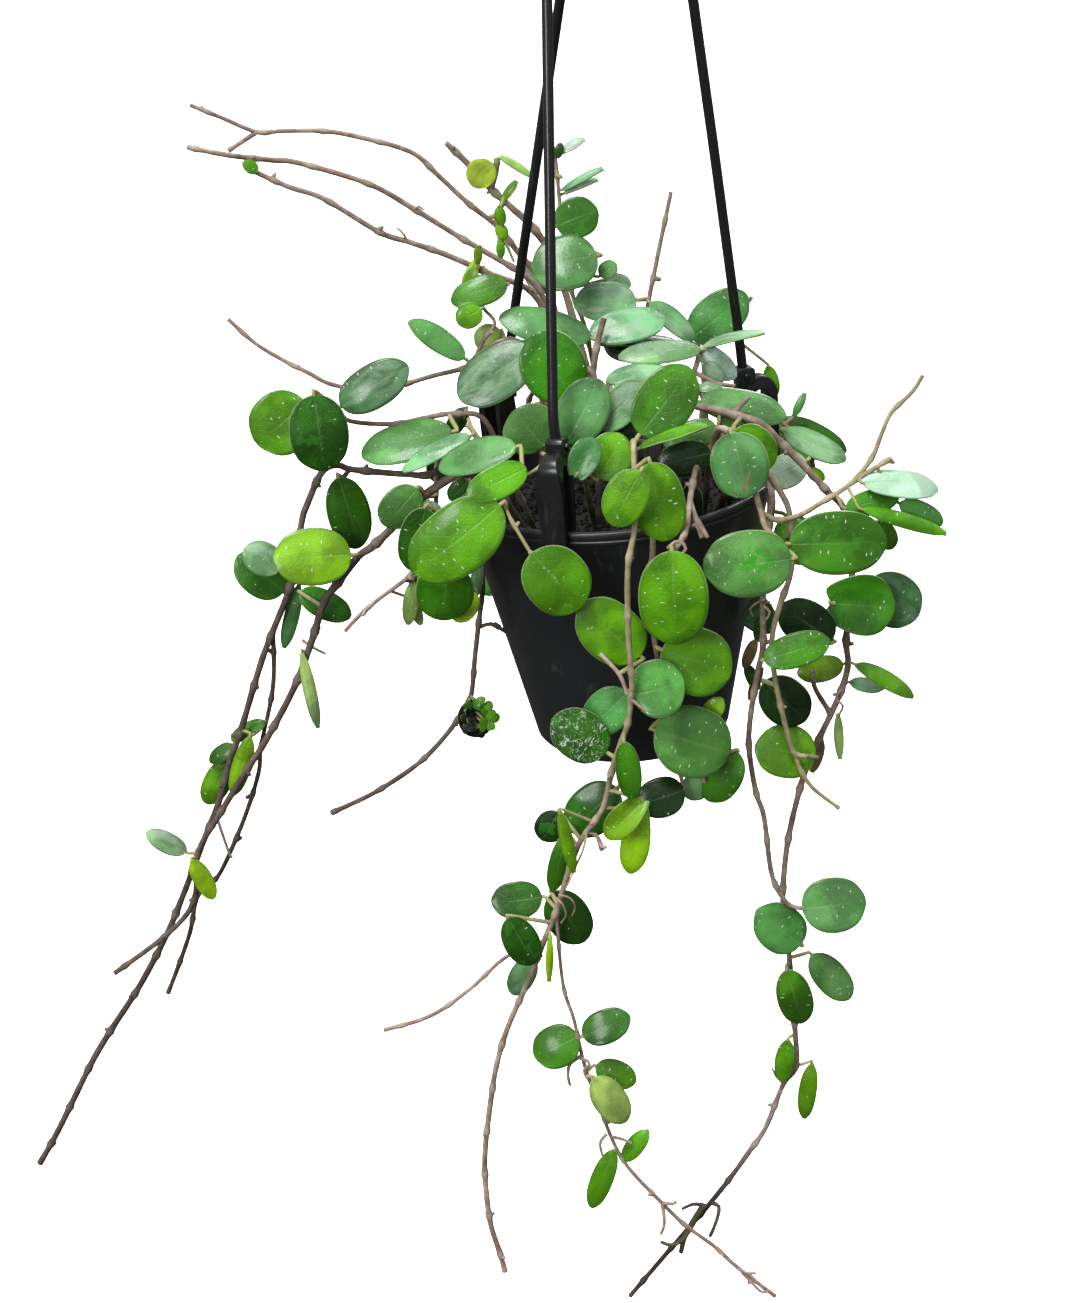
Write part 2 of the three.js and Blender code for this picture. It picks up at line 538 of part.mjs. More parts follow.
// A rooted stem with its side shoots, leaf stalks and blades, grown together
function vineSolid(root, radius, stems, leaves) {
  const foot = vec(POT_AXIS[0] + root[0], POT_AXIS[1] + root[1], RIM_Z - MIX_DROP);
  const rooted = [foot.clone().setZ(foot.z - ROOT_DEPTH + 1), foot.clone().setZ(foot.z + ROOT_RISE)];
  const main = [...rooted, ...stems[0]];
  const taper = (points, thick) => points.map((p, i) => thick * (1 - (0.45 * i) / points.length));
  const solids = [bar(main, taper(main, radius), 4)];
  stems.slice(1).forEach((points) => solids.push(bar(points, taper(points, radius * 0.75), 4)));
  const shown = [main.slice(2), ...stems.slice(1)].filter((points) => points.length > 1);
  for (const leaf of leaves) {
    const near = nearestOn(shown, leaf.base);
    const short = near.distanceTo(leaf.base) < SHORTEST_STALK;
    const back = leaf.base.clone().lerp(leaf.tip, -SHORTEST_STALK / leaf.base.distanceTo(leaf.tip));
    solids.push(leafSolid(short ? back : near, leaf));
  }
  return joined(solids);
}

function photoVine(vine) {
  const stems = vine.stems.map((points) => points.map((point) => seen(...point)));
  const leaves = vine.leaves.map(([bc, br, tc, tr, baseBack, tipBack, width, tilt]) => ({
    base: seen(bc, br, baseBack),
    tip: seen(tc, tr, tipBack),
    width,
    tilt,
  }));
  return vineSolid(vine.root, vine.radius, stems, leaves);
}

const sweepPlace = (bearing, radius, height) => {
  const turn = radians(bearing);
  return vec(POT_AXIS[0] + radius * Math.cos(turn), POT_AXIS[1] + radius * Math.sin(turn), RIM_Z + height);
};

// A vine that leaves the mix, goes over the rim at its bearing and hangs behind the pot
function rearVine({ bearing, root, radius, drop, leaves, out }) {
  const crest = [sweepPlace(bearing, 68, 22), sweepPlace(bearing, out - 4, 12)];
  const steps = Math.round(drop / 40);
  const fall = [...Array(steps).keys()].map((i) =>
    sweepPlace(bearing + 3 * Math.sin(i * 1.7), out + 2 * Math.cos(i * 2.1), -20 - (i * drop) / steps),
  );
  const blades = [...Array(leaves).keys()].map((i) => {
    const place = (i + 0.2) * (drop / leaves);
    const swing = i % 2 ? 1 : -1;
    const base = sweepPlace(bearing + 5 * swing, out + 3, 12 - place);
    const tip = sweepPlace(bearing + (18 + 3 * Math.sin(i * 2.3)) * swing, out + 5, -8 - place);
    return { base, tip, width: 22 - i, tilt: 0 };
  });
  return vineSolid(root, radius, [[...crest, ...fall]], blades);
}

// Hanger
function hookSolid() {
  const wire = HOOK_WIRE / 2;
  const bend = HOOK_INNER_RADIUS + wire;
  const centre = vec(0, 0, -HOOK_INNER_RADIUS);
  const crook = [...Array(12).keys()].map((i) => {
    const turn = radians(-35 + i * 22);
    return centre.clone().add(vec(bend * Math.cos(turn), 0, bend * Math.sin(turn)));
  });
  const shank = [vec(0, 0, HOOK_SHANK_BOTTOM), vec(0, 0, -30), vec(2.5, 0, -24)];
  const { radius, top, bottom } = HUB;
  const hub = turned([[0, bottom], [radius, bottom], [radius, top - 2], [radius - 2, top], [0, top]], 24);
  return joined([evenBar([...shank, ...crook], wire, 8), hub]);
}

function rodPath(name) {
  const turn = radians(CLIP_AZIMUTHS[name]);
  const seat = vec(ROD_SEAT.radius * Math.cos(turn), ROD_SEAT.radius * Math.sin(turn), ROD_SEAT.height);
  const foot = seat.add(vec(POT_AXIS[0], POT_AXIS[1], RIM_Z));
  const head = vec(ROD_SEAT_RADIUS * Math.cos(turn), ROD_SEAT_RADIUS * Math.sin(turn), HUB.bottom + 5);
  const bends = ROD_BENDS[name].map((point) => seen(...point));
  const neck = head.clone().setZ(HUB.bottom - 5);
  const curve = new THREE.CatmullRomCurve3([foot, ...bends, neck, head], false, "centripetal");
  return curve.getPoints(16);
}

function clipSolid(name) {
  const turn = CLIP_AZIMUTHS[name];
  const { innerLeg, outerLeg, top, crown, innerFoot, outerFoot, width } = CLIP;
  const half = width / 2;
  const arch = (near, far, height, halfWidth, bottom) => {
    const middle = (near + far) / 2;
    const radius = (far - near) / 2;
    const body = boxSolid(near, far, halfWidth, bottom, height - radius);
    return body.add(crossPin(radius, 2 * halfWidth, 14, middle, height - radius));
  };
  const outside = arch(innerLeg[0], outerLeg[1], top, half, outerFoot);
  const inside = arch(innerLeg[1], outerLeg[0], top - crown, half + 1, outerFoot - 10);
  const below = boxSolid(innerLeg[0] - 1, innerLeg[1] + 1, half + 1, outerFoot - 2, innerFoot);
  const lipCatch = boxSolid(CLIP.catchReach, outerLeg[0] + 1, half - 1.5, outerFoot, -LIP_HEIGHT - 0.6);
  const block = boxSolid(BLOCK.near, BLOCK.far, BLOCK.halfWidth, BLOCK.bottom, BLOCK.top);
  const lug = crossPin(CLIP.lug, 2 * BLOCK.halfWidth + 3, 8, ROD_SEAT.radius, BLOCK.top - 4);
  const strap = outside.subtract(inside).subtract(below);
  const whole = strap.add(lipCatch).add(block).add(lug);
  return whole.rotate([0, 0, turn]).translate([POT_AXIS[0], POT_AXIS[1], RIM_Z]);
}

// Pot and mix, turned about the pot's axis
const wallRadius = (height, inset) =>
  BASE_RADIUS + ((WALL_TOP_RADIUS - BASE_RADIUS) * (height + POT_HEIGHT)) / (POT_HEIGHT - LIP_HEIGHT) - inset;
const onAxis = (solid) => solid.translate([POT_AXIS[0], POT_AXIS[1], RIM_Z]);

function potSolid() {
  const floor = -POT_HEIGHT + BASE_THICKNESS;
  const corner = -POT_HEIGHT + BASE_CORNER;
  const shell = turned(
    [
      [0, -POT_HEIGHT],
      [wallRadius(-POT_HEIGHT, BASE_CORNER), -POT_HEIGHT],
      [wallRadius(corner, 1), -POT_HEIGHT + 1],
      [wallRadius(corner, 0), corner],
      [WALL_TOP_RADIUS, -LIP_HEIGHT],
      [RIM_RADIUS, -LIP_HEIGHT],
      [RIM_RADIUS, 0],
      [LIP_INNER_RADIUS, 0],
      [wallRadius(-LIP_HEIGHT, WALL), -LIP_HEIGHT - 1],
      [wallRadius(floor, WALL), floor],
      [0, floor],
    ],
    36,
  );
  const holes = [...Array(DRAIN_HOLE.count).keys()].map((i) => {
    const turn = (2 * Math.PI * (i + 0.5)) / DRAIN_HOLE.count;
    const [x, y] = [DRAIN_HOLE.ring * Math.cos(turn), DRAIN_HOLE.ring * Math.sin(turn)];
    return uprightPin(DRAIN_HOLE.radius, 3 * BASE_THICKNESS, 10, x, y, -POT_HEIGHT);
  });
  return onAxis(shell.subtract(joined(holes)));
}

function mixSolid(roots) {
  const floor = -POT_HEIGHT + BASE_THICKNESS + FIT_GAP;
  const inset = WALL + 2 * FIT_GAP;
  const body = turned(
    [
      [0, floor],
      [wallRadius(floor, inset), floor],
      [wallRadius(-MIX_DROP, inset), -MIX_DROP],
      [0, -MIX_DROP],
    ],
    36,
  );
  const holes = roots.map(({ root, radius }) => {
    const length = 2 * ROOT_DEPTH;
    return uprightPin(radius + ROOT_CLEARANCE, length, 6, root[0], root[1], -MIX_DROP);
  });
  return onAxis(body.subtract(joined(holes)));
}

// Finished nodes
const group = new THREE.Group();

function addNode(name, solid, colour, roughness, metalness = 0) {
  const { numProp, vertProperties, triVerts } = solid.getMesh();
  const geometry = new THREE.BufferGeometry();
  const flat = [];
  for (const i of triVerts) {
    flat.push(...vertProperties.subarray(i * numProp, i * numProp + 3));
  }
  geometry.setAttribute("position", new THREE.Float32BufferAttribute(flat, 3));
  geometry.computeVertexNormals();
  const material = new THREE.MeshStandardMaterial({ color: colour, roughness, metalness });
  const mesh = new THREE.Mesh(geometry, material);
  mesh.name = name;
  group.add(mesh);
}

const paths = Object.fromEntries(Object.keys(ROD_BENDS).map((name) => [name, rodPath(name)]));

// The room each rod needs in its clip and in the hub, a little longer than the rod itself
const boreAlong = (points) => evenBar(points, ROD_DIAMETER / 2 + FIT_GAP, 8);
const footBore = (path) => boreAlong([path[0].clone().lerp(path[1], -0.1), ...path.slice(1, 5)]);
const headBore = (path) => boreAlong([...path.slice(-4, -1), path.at(-1).clone().lerp(path.at(-2), -0.2)]);

const hubBores = Object.values(paths).map(headBore);
addNode("hanger_hook", hookSolid().subtract(joined(hubBores)), BLACK_PLASTIC, 0.45);
for (const [name, path] of Object.entries(paths)) {
  addNode(`rod_${name}`, evenBar(path, ROD_DIAMETER / 2, 6), BLACK_PLASTIC, 0.45);
  addNode(`clip_${name}`, clipSolid(name).subtract(footBore(path)), BLACK_PLASTIC, 0.5);
}
addNode("pot", potSolid(), POT_BLACK, 0.55);
addNode("potting_mix", mixSolid([...VINES, ...REAR_VINES]), MIX_BROWN, 1);
VINES.forEach((vine) => addNode(vine.name, photoVine(vine), LEAF_GREEN, 0.45));
REAR_VINES.forEach((vine, i) => addNode(`vine_rear_${i + 1}`, rearVine(vine), LEAF_GREEN, 0.45));

export default group;
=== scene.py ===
# %% [markdown]
# # A trailing hoya in a hanging pot
# The real object is a leafy, trailing house plant in a black nursery pot that hangs on three
# thin rods. The plan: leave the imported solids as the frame, then dress each of them. Stems and
# rods are round strands that follow a path, so one node tree makes them all. Leaves are fleshy
# blades with their own bow and tone. The pot, the clips and the mix get meshes of their own.

import json
import math
import random

import bmesh
import bpy
from mathutils import Matrix, Quaternion, Vector

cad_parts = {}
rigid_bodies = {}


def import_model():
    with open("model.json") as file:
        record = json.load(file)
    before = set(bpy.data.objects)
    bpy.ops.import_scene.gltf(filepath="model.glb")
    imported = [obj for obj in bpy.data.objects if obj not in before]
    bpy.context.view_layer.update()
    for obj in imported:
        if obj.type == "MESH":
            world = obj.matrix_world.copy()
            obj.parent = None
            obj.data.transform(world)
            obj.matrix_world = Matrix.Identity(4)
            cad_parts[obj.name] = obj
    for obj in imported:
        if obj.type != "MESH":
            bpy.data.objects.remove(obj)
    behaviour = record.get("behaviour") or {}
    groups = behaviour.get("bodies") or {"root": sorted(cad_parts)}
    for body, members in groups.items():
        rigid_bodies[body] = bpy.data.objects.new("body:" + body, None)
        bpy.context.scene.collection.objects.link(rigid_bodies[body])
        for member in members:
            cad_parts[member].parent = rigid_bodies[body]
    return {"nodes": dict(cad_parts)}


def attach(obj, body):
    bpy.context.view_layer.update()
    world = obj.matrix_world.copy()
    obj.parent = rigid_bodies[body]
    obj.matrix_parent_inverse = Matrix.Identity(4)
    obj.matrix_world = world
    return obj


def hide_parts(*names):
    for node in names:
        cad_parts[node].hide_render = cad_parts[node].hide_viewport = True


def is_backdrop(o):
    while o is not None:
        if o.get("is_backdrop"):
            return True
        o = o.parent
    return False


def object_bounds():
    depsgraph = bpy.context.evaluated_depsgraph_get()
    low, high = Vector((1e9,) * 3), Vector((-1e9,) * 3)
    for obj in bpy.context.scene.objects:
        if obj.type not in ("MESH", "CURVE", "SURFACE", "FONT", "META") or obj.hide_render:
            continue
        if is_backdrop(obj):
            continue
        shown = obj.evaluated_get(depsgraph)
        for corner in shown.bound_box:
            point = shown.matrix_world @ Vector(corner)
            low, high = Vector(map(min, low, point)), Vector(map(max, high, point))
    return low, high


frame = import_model()
solid_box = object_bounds()
MM = 0.001
print("nodes in the frame:", len(frame["nodes"]))

# %% [markdown]
# ## The viewpoint
# A photograph of a real plant is the best ruler there is. Once the eye's place, its tilt and its
# focal length are known, any picture point and a depth give one place in space. Every stem and
# leaf below is written that way: picture column, picture row, and millimetres behind the axis of
# the pot.

# %% Viewpoint and picture points
PICTURE = (1086, 1303)
FOCAL_POINTS = 1850
EYE = Vector((-58.5, -806.7, -59.0))
PITCH, ROLL = math.radians(24.44), math.radians(-5.75)
SENSOR = 36

forward = Vector((0, math.cos(PITCH), -math.sin(PITCH)))
right = Quaternion(forward, -ROLL) @ Vector((1, 0, 0))
up = right.cross(forward)


def seen(column, row, back):
    """The place in millimetres that a picture point shows, at a depth behind the pot's axis."""
    across = (column - PICTURE[0] / 2) / FOCAL_POINTS
    down = (row - PICTURE[1] / 2) / FOCAL_POINTS
    ray = forward + right * across - up * down
    return EYE + ray * ((back - EYE.y) / ray.y)


print("the picture's middle meets the pot's axis at", [round(c) for c in seen(543, 651.5, 0)])

# %% [markdown]
# ## Sizes
# The pot is a common small nursery pot, 150 mm across its rim. All sizes here are in millimetres
# and match the solids, so that each dressed piece sits where its solid does.

# %% Pot, hanger and blade sizes
POT_AXIS = (-18, 0)
RIM_Z = -340
POT_HEIGHT = 126
RIM_RADIUS = 75
LIP_HEIGHT = 6
LIP_INNER_RADIUS = 71.6
WALL_TOP_RADIUS = 71.4
BASE_RADIUS = 46.5
WALL = 1.5
BASE_THICKNESS = 2.5
DRAIN_HOLES = {"count": 8, "radius": 4, "ring": 30}
MIX_DROP = 15
ROOT_DEPTH, ROOT_RISE = 6, 5
FIT_GAP = 0.35

HOOK = {"wire": 2.3, "bend": 11.3, "shank_bottom": -44}
HUB = {"radius": 11, "top": -42, "bottom": -51}
ROD = {"radius": 2.25, "seat_radius": 66, "seat_height": 32, "head_radius": 5.5}
CLIP_BEARINGS = {"front": -113, "right": 14, "rear": 134}
ROD_BENDS = {
    "front": [(553, 420, -60), (551, 300, -50), (549, 150, -38), (547, 0, -25)],
    "right": [(737, 320, 14), (734, 300, 13), (714, 150, 9), (693, 0, 5)],
    "rear": [(512, 330, 44), (516, 300, 42), (538, 150, 30), (560, 0, 18)],
}
BLADE_NECK, BLADE_BOW = 2.2, 0.07


def round_pot(bearing, radius, height):
    """A place at a bearing and radius round the pot's axis, at a height from the rim."""
    turn = math.radians(bearing)
    x, y = POT_AXIS
    return Vector((x + radius * math.cos(turn), y + radius * math.sin(turn), RIM_Z + height))


print("rim", 2 * RIM_RADIUS, "mm across, pot", POT_HEIGHT, "mm high")

# %% [markdown]
# ## A small language for node trees
# A material is easier to read as a sum than as boxes and wires. The class below holds one output
# of a node. Adding or multiplying it in Python lays a Math node. `node` lays any other kind, and
# `lay` does the same and gives its first output. The geometry trees take the same Math nodes, so
# the class serves them too.


# %% Flows and nodes
def node(tree, kind, settings=None, sockets=None):
    """Adds a node, its settings first, then the values or flows of its input sockets."""
    made = tree.nodes.new(kind)
    for name, value in (settings or {}).items():
        if name == "stops":
            while len(made.color_ramp.elements) < len(value):
                made.color_ramp.elements.new(0.5)
            for element, (place, colour) in zip(made.color_ramp.elements, value):
                element.position = place
                element.color = (*colour, 1)
        else:
            setattr(made, name, value)
    for key, value in (sockets or {}).items():
        if isinstance(value, Flow):
            tree.links.new(value.socket, made.inputs[key])
        else:
            made.inputs[key].default_value = value
    return made


def lay(tree, kind, settings=None, sockets=None):
    return Flow(node(tree, kind, settings, sockets).outputs[0])


class Flow:
    """One output socket. Arithmetic on it adds Math nodes to its tree."""

    def __init__(self, socket):
        self.socket = socket
        self.tree = socket.id_data

    def maths(self, operation, *values):
        return lay(self.tree, "ShaderNodeMath", {"operation": operation}, dict(enumerate(values)))

    def __add__(self, other):
        return self.maths("ADD", self, other)

    def __sub__(self, other):
        return self.maths("SUBTRACT", self, other)

    def __rsub__(self, other):
        return self.maths("SUBTRACT", other, self)

    def __mul__(self, other):
        return self.maths("MULTIPLY", self, other)

    def __truediv__(self, other):
        return self.maths("DIVIDE", self, other)

    def __abs__(self):
        return self.maths("ABSOLUTE", self)

    __radd__ = __add__
    __rmul__ = __mul__

    def fraction(self):
        return self.maths("FRACT", self)

    def above(self, value):
        return self.maths("GREATER_THAN", self, value)

    def below(self, value):
        return self.maths("LESS_THAN", self, value)

    def least(self, other):
        return self.maths("MINIMUM", self, other)

    def most(self, other):
        return self.maths("MAXIMUM", self, other)

    def smooth(self, start, end, low=0.0, high=1.0):
        """A soft step from low at start to high at end."""
        sockets = {0: self, 1: start, 2: end, 3: low, 4: high}
        settings = {"interpolation_type": "SMOOTHSTEP"}
        return lay(self.tree, "ShaderNodeMapRange", settings, sockets)

    def parts(self):
        """The x, y and z of a vector."""
        made = node(self.tree, "ShaderNodeSeparateXYZ", None, {0: self})
        return [Flow(part) for part in made.outputs]

    def colour_parts(self):
        """The red, green and blue of a colour."""
        made = node(self.tree, "ShaderNodeSeparateColor", None, {0: self})
        return [Flow(part) for part in made.outputs]


print("tree language ready")

# %% [markdown]
# ## One tree for every strand
# Stems, leaf stalks, rods and the hook are all round strands that follow a path. Each strand
# starts as a chain of edges whose points carry a thickness, a youth (0 is old bark, 1 is a green
# shoot, below 0 is old dark wood) and whether it has leaf scars. The tree smooths the path,
# swells it at regular nodes as a real hoya stem does, roughens its thickness, sets a small stub
# at some of the nodes, and wraps a round skin about it.

# %% Node tree for strands
STRAND_INPUTS = {
    "Step": ("NodeSocketFloat", 0.002),
    "Sides": ("NodeSocketInt", 10),
    "Node spacing": ("NodeSocketFloat", 0.026),
    "Swelling": ("NodeSocketFloat", 0.42),
    "Unevenness": ("NodeSocketFloat", 0.16),
    "Stub length": ("NodeSocketFloat", 0.003),
    "Seed": ("NodeSocketInt", 4),
    "Finish": ("NodeSocketMaterial", None),
}
KNOB_REACH = 0.0034
WOBBLE_SCALE = 160.0
NO_STUB_SHARE = 0.42
STUB = {"Vertices": 6, "Radius Top": 0.22, "Radius Bottom": 0.42, "Depth": 1.0}
STUB_LEAN = ((0.7, -0.9, 0.0), (2.2, 0.9, 6.28))
STUB_SIZE = (0.45, 1.25)


def new_tree(name, inputs):
    """An empty geometry tree with named inputs; gives the tree and its input flows."""
    tree = bpy.data.node_groups.new(name, "GeometryNodeTree")
    tree.interface.new_socket("Geometry", in_out="INPUT", socket_type="NodeSocketGeometry")
    tree.interface.new_socket("Geometry", in_out="OUTPUT", socket_type="NodeSocketGeometry")
    for label, (kind, value) in inputs.items():
        socket = tree.interface.new_socket(label, in_out="INPUT", socket_type=kind)
        if value is not None:
            socket.default_value = value
    entry = tree.nodes.new("NodeGroupInput")
    return tree, {output.name: Flow(output) for output in entry.outputs if output.name}


def named(tree, name):
    """The flow of a named number that the points carry."""
    settings = {"data_type": "FLOAT"}
    return lay(tree, "GeometryNodeInputNamedAttribute", settings, {"Name": name})


def stored(tree, geometry, name, value):
    """The geometry with a named number kept on its points."""
    settings = {"data_type": "FLOAT", "domain": "POINT"}
    sockets = {0: geometry, "Name": name, "Value": value}
    return lay(tree, "GeometryNodeStoreNamedAttribute", settings, sockets)


def random_flow(tree, low, high, seed, kind="FLOAT"):
    """A seeded random value for each element."""
    first, output = {"FLOAT_VECTOR": (0, 0), "FLOAT": (2, 1)}[kind]
    sockets = {first: low, first + 1: high, "Seed": seed}
    return Flow(node(tree, "FunctionNodeRandomValue", {"data_type": kind}, sockets).outputs[output])


def copies_on(tree, points, instance, rotation, scale, **sockets):
    sockets = {0: points, "Instance": instance, "Rotation": rotation, "Scale": scale, **sockets}
    return lay(tree, "GeometryNodeInstanceOnPoints", None, sockets)


def close_tree(tree, pieces, finish, smooth):
    """Joins the pieces, makes all copies real, gives them their finish and ends the tree."""
    whole = node(tree, "GeometryNodeJoinGeometry")
    for piece in pieces:
        tree.links.new(piece.socket, whole.inputs[0])
    solid = lay(tree, "GeometryNodeRealizeInstances", None, {0: Flow(whole.outputs[0])})
    if smooth:
        solid = lay(tree, "GeometryNodeSetShadeSmooth", None, {0: solid})
    painted = lay(tree, "GeometryNodeSetMaterial", None, {0: solid, "Material": finish})
    node(tree, "NodeGroupOutput", None, {0: painted})
    return tree


def strand_tree():
    tree, take = new_tree("strands", STRAND_INPUTS)
    chains = lay(tree, "GeometryNodeMeshToCurve", None, {0: take["Geometry"]})
    spline = {"spline_type": "CATMULL_ROM"}
    smooth = lay(tree, "GeometryNodeCurveSplineType", spline, {0: chains})
    even = {0: smooth, "Length": take["Step"]}
    path = lay(tree, "GeometryNodeResampleCurve", {"mode": "LENGTH"}, even)
    along = Flow(node(tree, "GeometryNodeSplineParameter").outputs["Length"])
    scarred = named(tree, "scarred")
    turns = along / take["Node spacing"] + named(tree, "shift")
    from_node = abs((turns + 0.5).fraction() - 0.5) * take["Node spacing"]
    knob = from_node.smooth(0.0, KNOB_REACH, 1.0, 0.0) * scarred
    wobble = lay(tree, "ShaderNodeTexNoise", None, {"Scale": WOBBLE_SCALE, "Detail": 2.0})
    uneven = (wobble - 0.5) * take["Unevenness"] * 2 * scarred.most(0.15)
    thick = named(tree, "thick") * (1 + knob * take["Swelling"] + uneven)

    ring = node(tree, "GeometryNodeCurvePrimitiveCircle", None, {"Resolution": take["Sides"]})
    ring.inputs["Radius"].default_value = 1.0
    profile = {"Profile Curve": Flow(ring.outputs[0]), "Scale": thick, "Fill Caps": True}
    knobbed = stored(tree, path, "knob", knob)
    skin = lay(tree, "GeometryNodeCurveToMesh", None, {0: knobbed, **profile})

    counted = stored(tree, path, "turns", turns)
    points = lay(tree, "GeometryNodeCurveToPoints", {"mode": "EVALUATED"}, {0: counted})
    at_node = named(tree, "turns").fraction().below(take["Step"] / take["Node spacing"])
    chance = random_flow(tree, 0.0, 1.0, take["Seed"]).above(NO_STUB_SHARE)
    stub = lay(tree, "GeometryNodeMeshCone", {"fill_type": "NGON"}, STUB)
    lean = random_flow(tree, *STUB_LEAN, take["Seed"], "FLOAT_VECTOR")
    reach = random_flow(tree, *STUB_SIZE, take["Seed"]) * take["Stub length"]
    stubs = copies_on(
        tree, points, stub, lean, reach, Selection=at_node * chance * scarred.above(0.5)
    )
    return close_tree(tree, [stubs, skin], take["Finish"], True)


strands_tree = strand_tree()
print("strand tree:", len(strands_tree.nodes), "nodes")

# %% [markdown]
# ## From chains to a plain mesh
# The tree's modifier is given its values by socket identifier, the result is read back as a plain
# mesh, and the modifier goes away with the object that carried it.


# %% Chains, modifier values and plain meshes
def in_scene(name, made_from):
    made = bpy.data.objects.new(name, made_from)
    bpy.context.scene.collection.objects.link(made)
    return made


def plain_mesh(piece):
    """The mesh of an object with its modifiers carried out."""
    graph = bpy.context.evaluated_depsgraph_get()
    return bpy.data.meshes.new_from_object(piece.evaluated_get(graph))


def grown(carrier, tree, values, name):
    """The plain mesh that a tree makes of a carrier object, which is used up."""
    modifier = carrier.modifiers.new("tree", "NODES")
    modifier.node_group = tree
    inputs = [item for item in tree.interface.items_tree if item.in_out == "INPUT"]
    ids = {item.name: item.identifier for item in inputs}
    for label, value in values.items():
        modifier[ids[label]] = value
    mesh = plain_mesh(carrier)
    bpy.data.objects.remove(carrier)
    return in_scene(name, mesh)


def chain_object(strands):
    """Edge chains from strands of (places, thicknesses, youths, scarred, shift), in millimetres."""
    places, edges, thick, young, scarred, shift = [], [], [], [], [], []
    for path, radii, youths, scars, offset in strands:
        start = len(places)
        places += [place * MM for place in path]
        edges += [(start + i, start + i + 1) for i in range(len(path) - 1)]
        thick += [radius * MM for radius in radii]
        young += youths
        scarred += [float(scars)] * len(path)
        shift += [offset] * len(path)
    mesh = bpy.data.meshes.new("chains")
    mesh.from_pydata(places, edges, [])
    carried = {"thick": thick, "young": young, "scarred": scarred, "shift": shift}
    for label, values in carried.items():
        mesh.attributes.new(label, "FLOAT", "POINT").data.foreach_set("value", values)
    return in_scene("chains", mesh)


def plain_strand(path, radius, name, finish, step):
    """One even strand without leaf scars, as an object."""
    chain = (path, [radius] * len(path), [0.0] * len(path), False, 0.0)
    values = {"Finish": finish, "Sides": 20, "Step": step, "Unevenness": 0.0}
    return grown(chain_object([chain]), strands_tree, values, name)


def joined(piece, other):
    """Takes the other object's mesh into the piece."""
    both = [piece, other]
    with bpy.context.temp_override(
        active_object=piece, selected_editable_objects=both, selected_objects=both
    ):
        bpy.ops.object.join()
    return piece


def stands_for(piece, name):
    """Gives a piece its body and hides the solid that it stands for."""
    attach(piece, "root")
    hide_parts(name)
    return piece


print("helpers ready")

# %% [markdown]
# ## Finishes
# Colours are given as a painter would name them and turned from screen values to light values
# once. A hoya leaf is satin and fleshy: a tone of its own, a soft mottle that is partly painted
# shade and highlight, a paler midrib, painted shade along the border with a thin painted highlight
# on the rim, faint side veins, and crisp silver flecks that are denser on some leaves. Flecks need
# a real scale, so each blade carries its own coordinates in centimetres.


# %% Colours and a new material
def light(red, green, blue):
    """Screen colour values, 0 to 255, as linear light."""
    values = (red, green, blue)
    return tuple(((c / 255 + 0.055) / 1.055) ** 2.4 if c > 10 else c / 3295 for c in values)


def new_finish(name, **constants):
    """A material, its tree and its main shader, with the values that are the same all over."""
    finish = bpy.data.materials.new(name)
    finish.use_nodes = True
    tree = finish.node_tree
    shader = tree.nodes["Principled BSDF"]
    for label, value in constants.items():
        shader.inputs[label.replace("_", " ")].default_value = value
    return finish, tree, shader


def colour_mix(tree, amount, first, second):
    sockets = {0: amount, 6: first, 7: second}
    return Flow(node(tree, "ShaderNodeMix", {"data_type": "RGBA"}, sockets).outputs[2])


def scaled(tree, colour, amount):
    """A colour made darker or brighter with its hue kept, or a size made smaller or larger."""
    sockets = {0: colour, "Scale": amount}
    return lay(tree, "ShaderNodeVectorMath", {"operation": "SCALE"}, sockets)


def noise(tree, where, scale, detail=3.0, distortion=0.0):
    sockets = {"Vector": where, "Scale": scale, "Detail": detail, "Distortion": distortion}
    return Flow(node(tree, "ShaderNodeTexNoise", None, sockets).outputs["Fac"])


def cells(tree, where, scale, **settings):
    return node(tree, "ShaderNodeTexVoronoi", settings, {"Vector": where, "Scale": scale})


def ramp(tree, amount, *stops):
    return lay(tree, "ShaderNodeValToRGB", {"stops": stops}, {0: amount})


def stretched(tree, where, scale, turn=0.0):
    """Places stretched by a scale for each direction, and turned flat."""
    sockets = {0: where, "Rotation": (0, 0, turn), "Scale": scale}
    return lay(tree, "ShaderNodeMapping", None, sockets)


def read(tree, name, output="Vector"):
    """The flow of a stored attribute."""
    return Flow(node(tree, "ShaderNodeAttribute", {"attribute_name": name}).outputs[output])


def object_place(tree):
    return Flow(node(tree, "ShaderNodeTexCoord").outputs["Object"])


def set_bump(tree, shader, height, distance, strength):
    sockets = {"Height": height, "Distance": distance, "Strength": strength}
    feed(tree, shader, "Normal", lay(tree, "ShaderNodeBump", None, sockets))


def feed(tree, shader, label, flow):
    tree.links.new(flow.socket, shader.inputs[label])


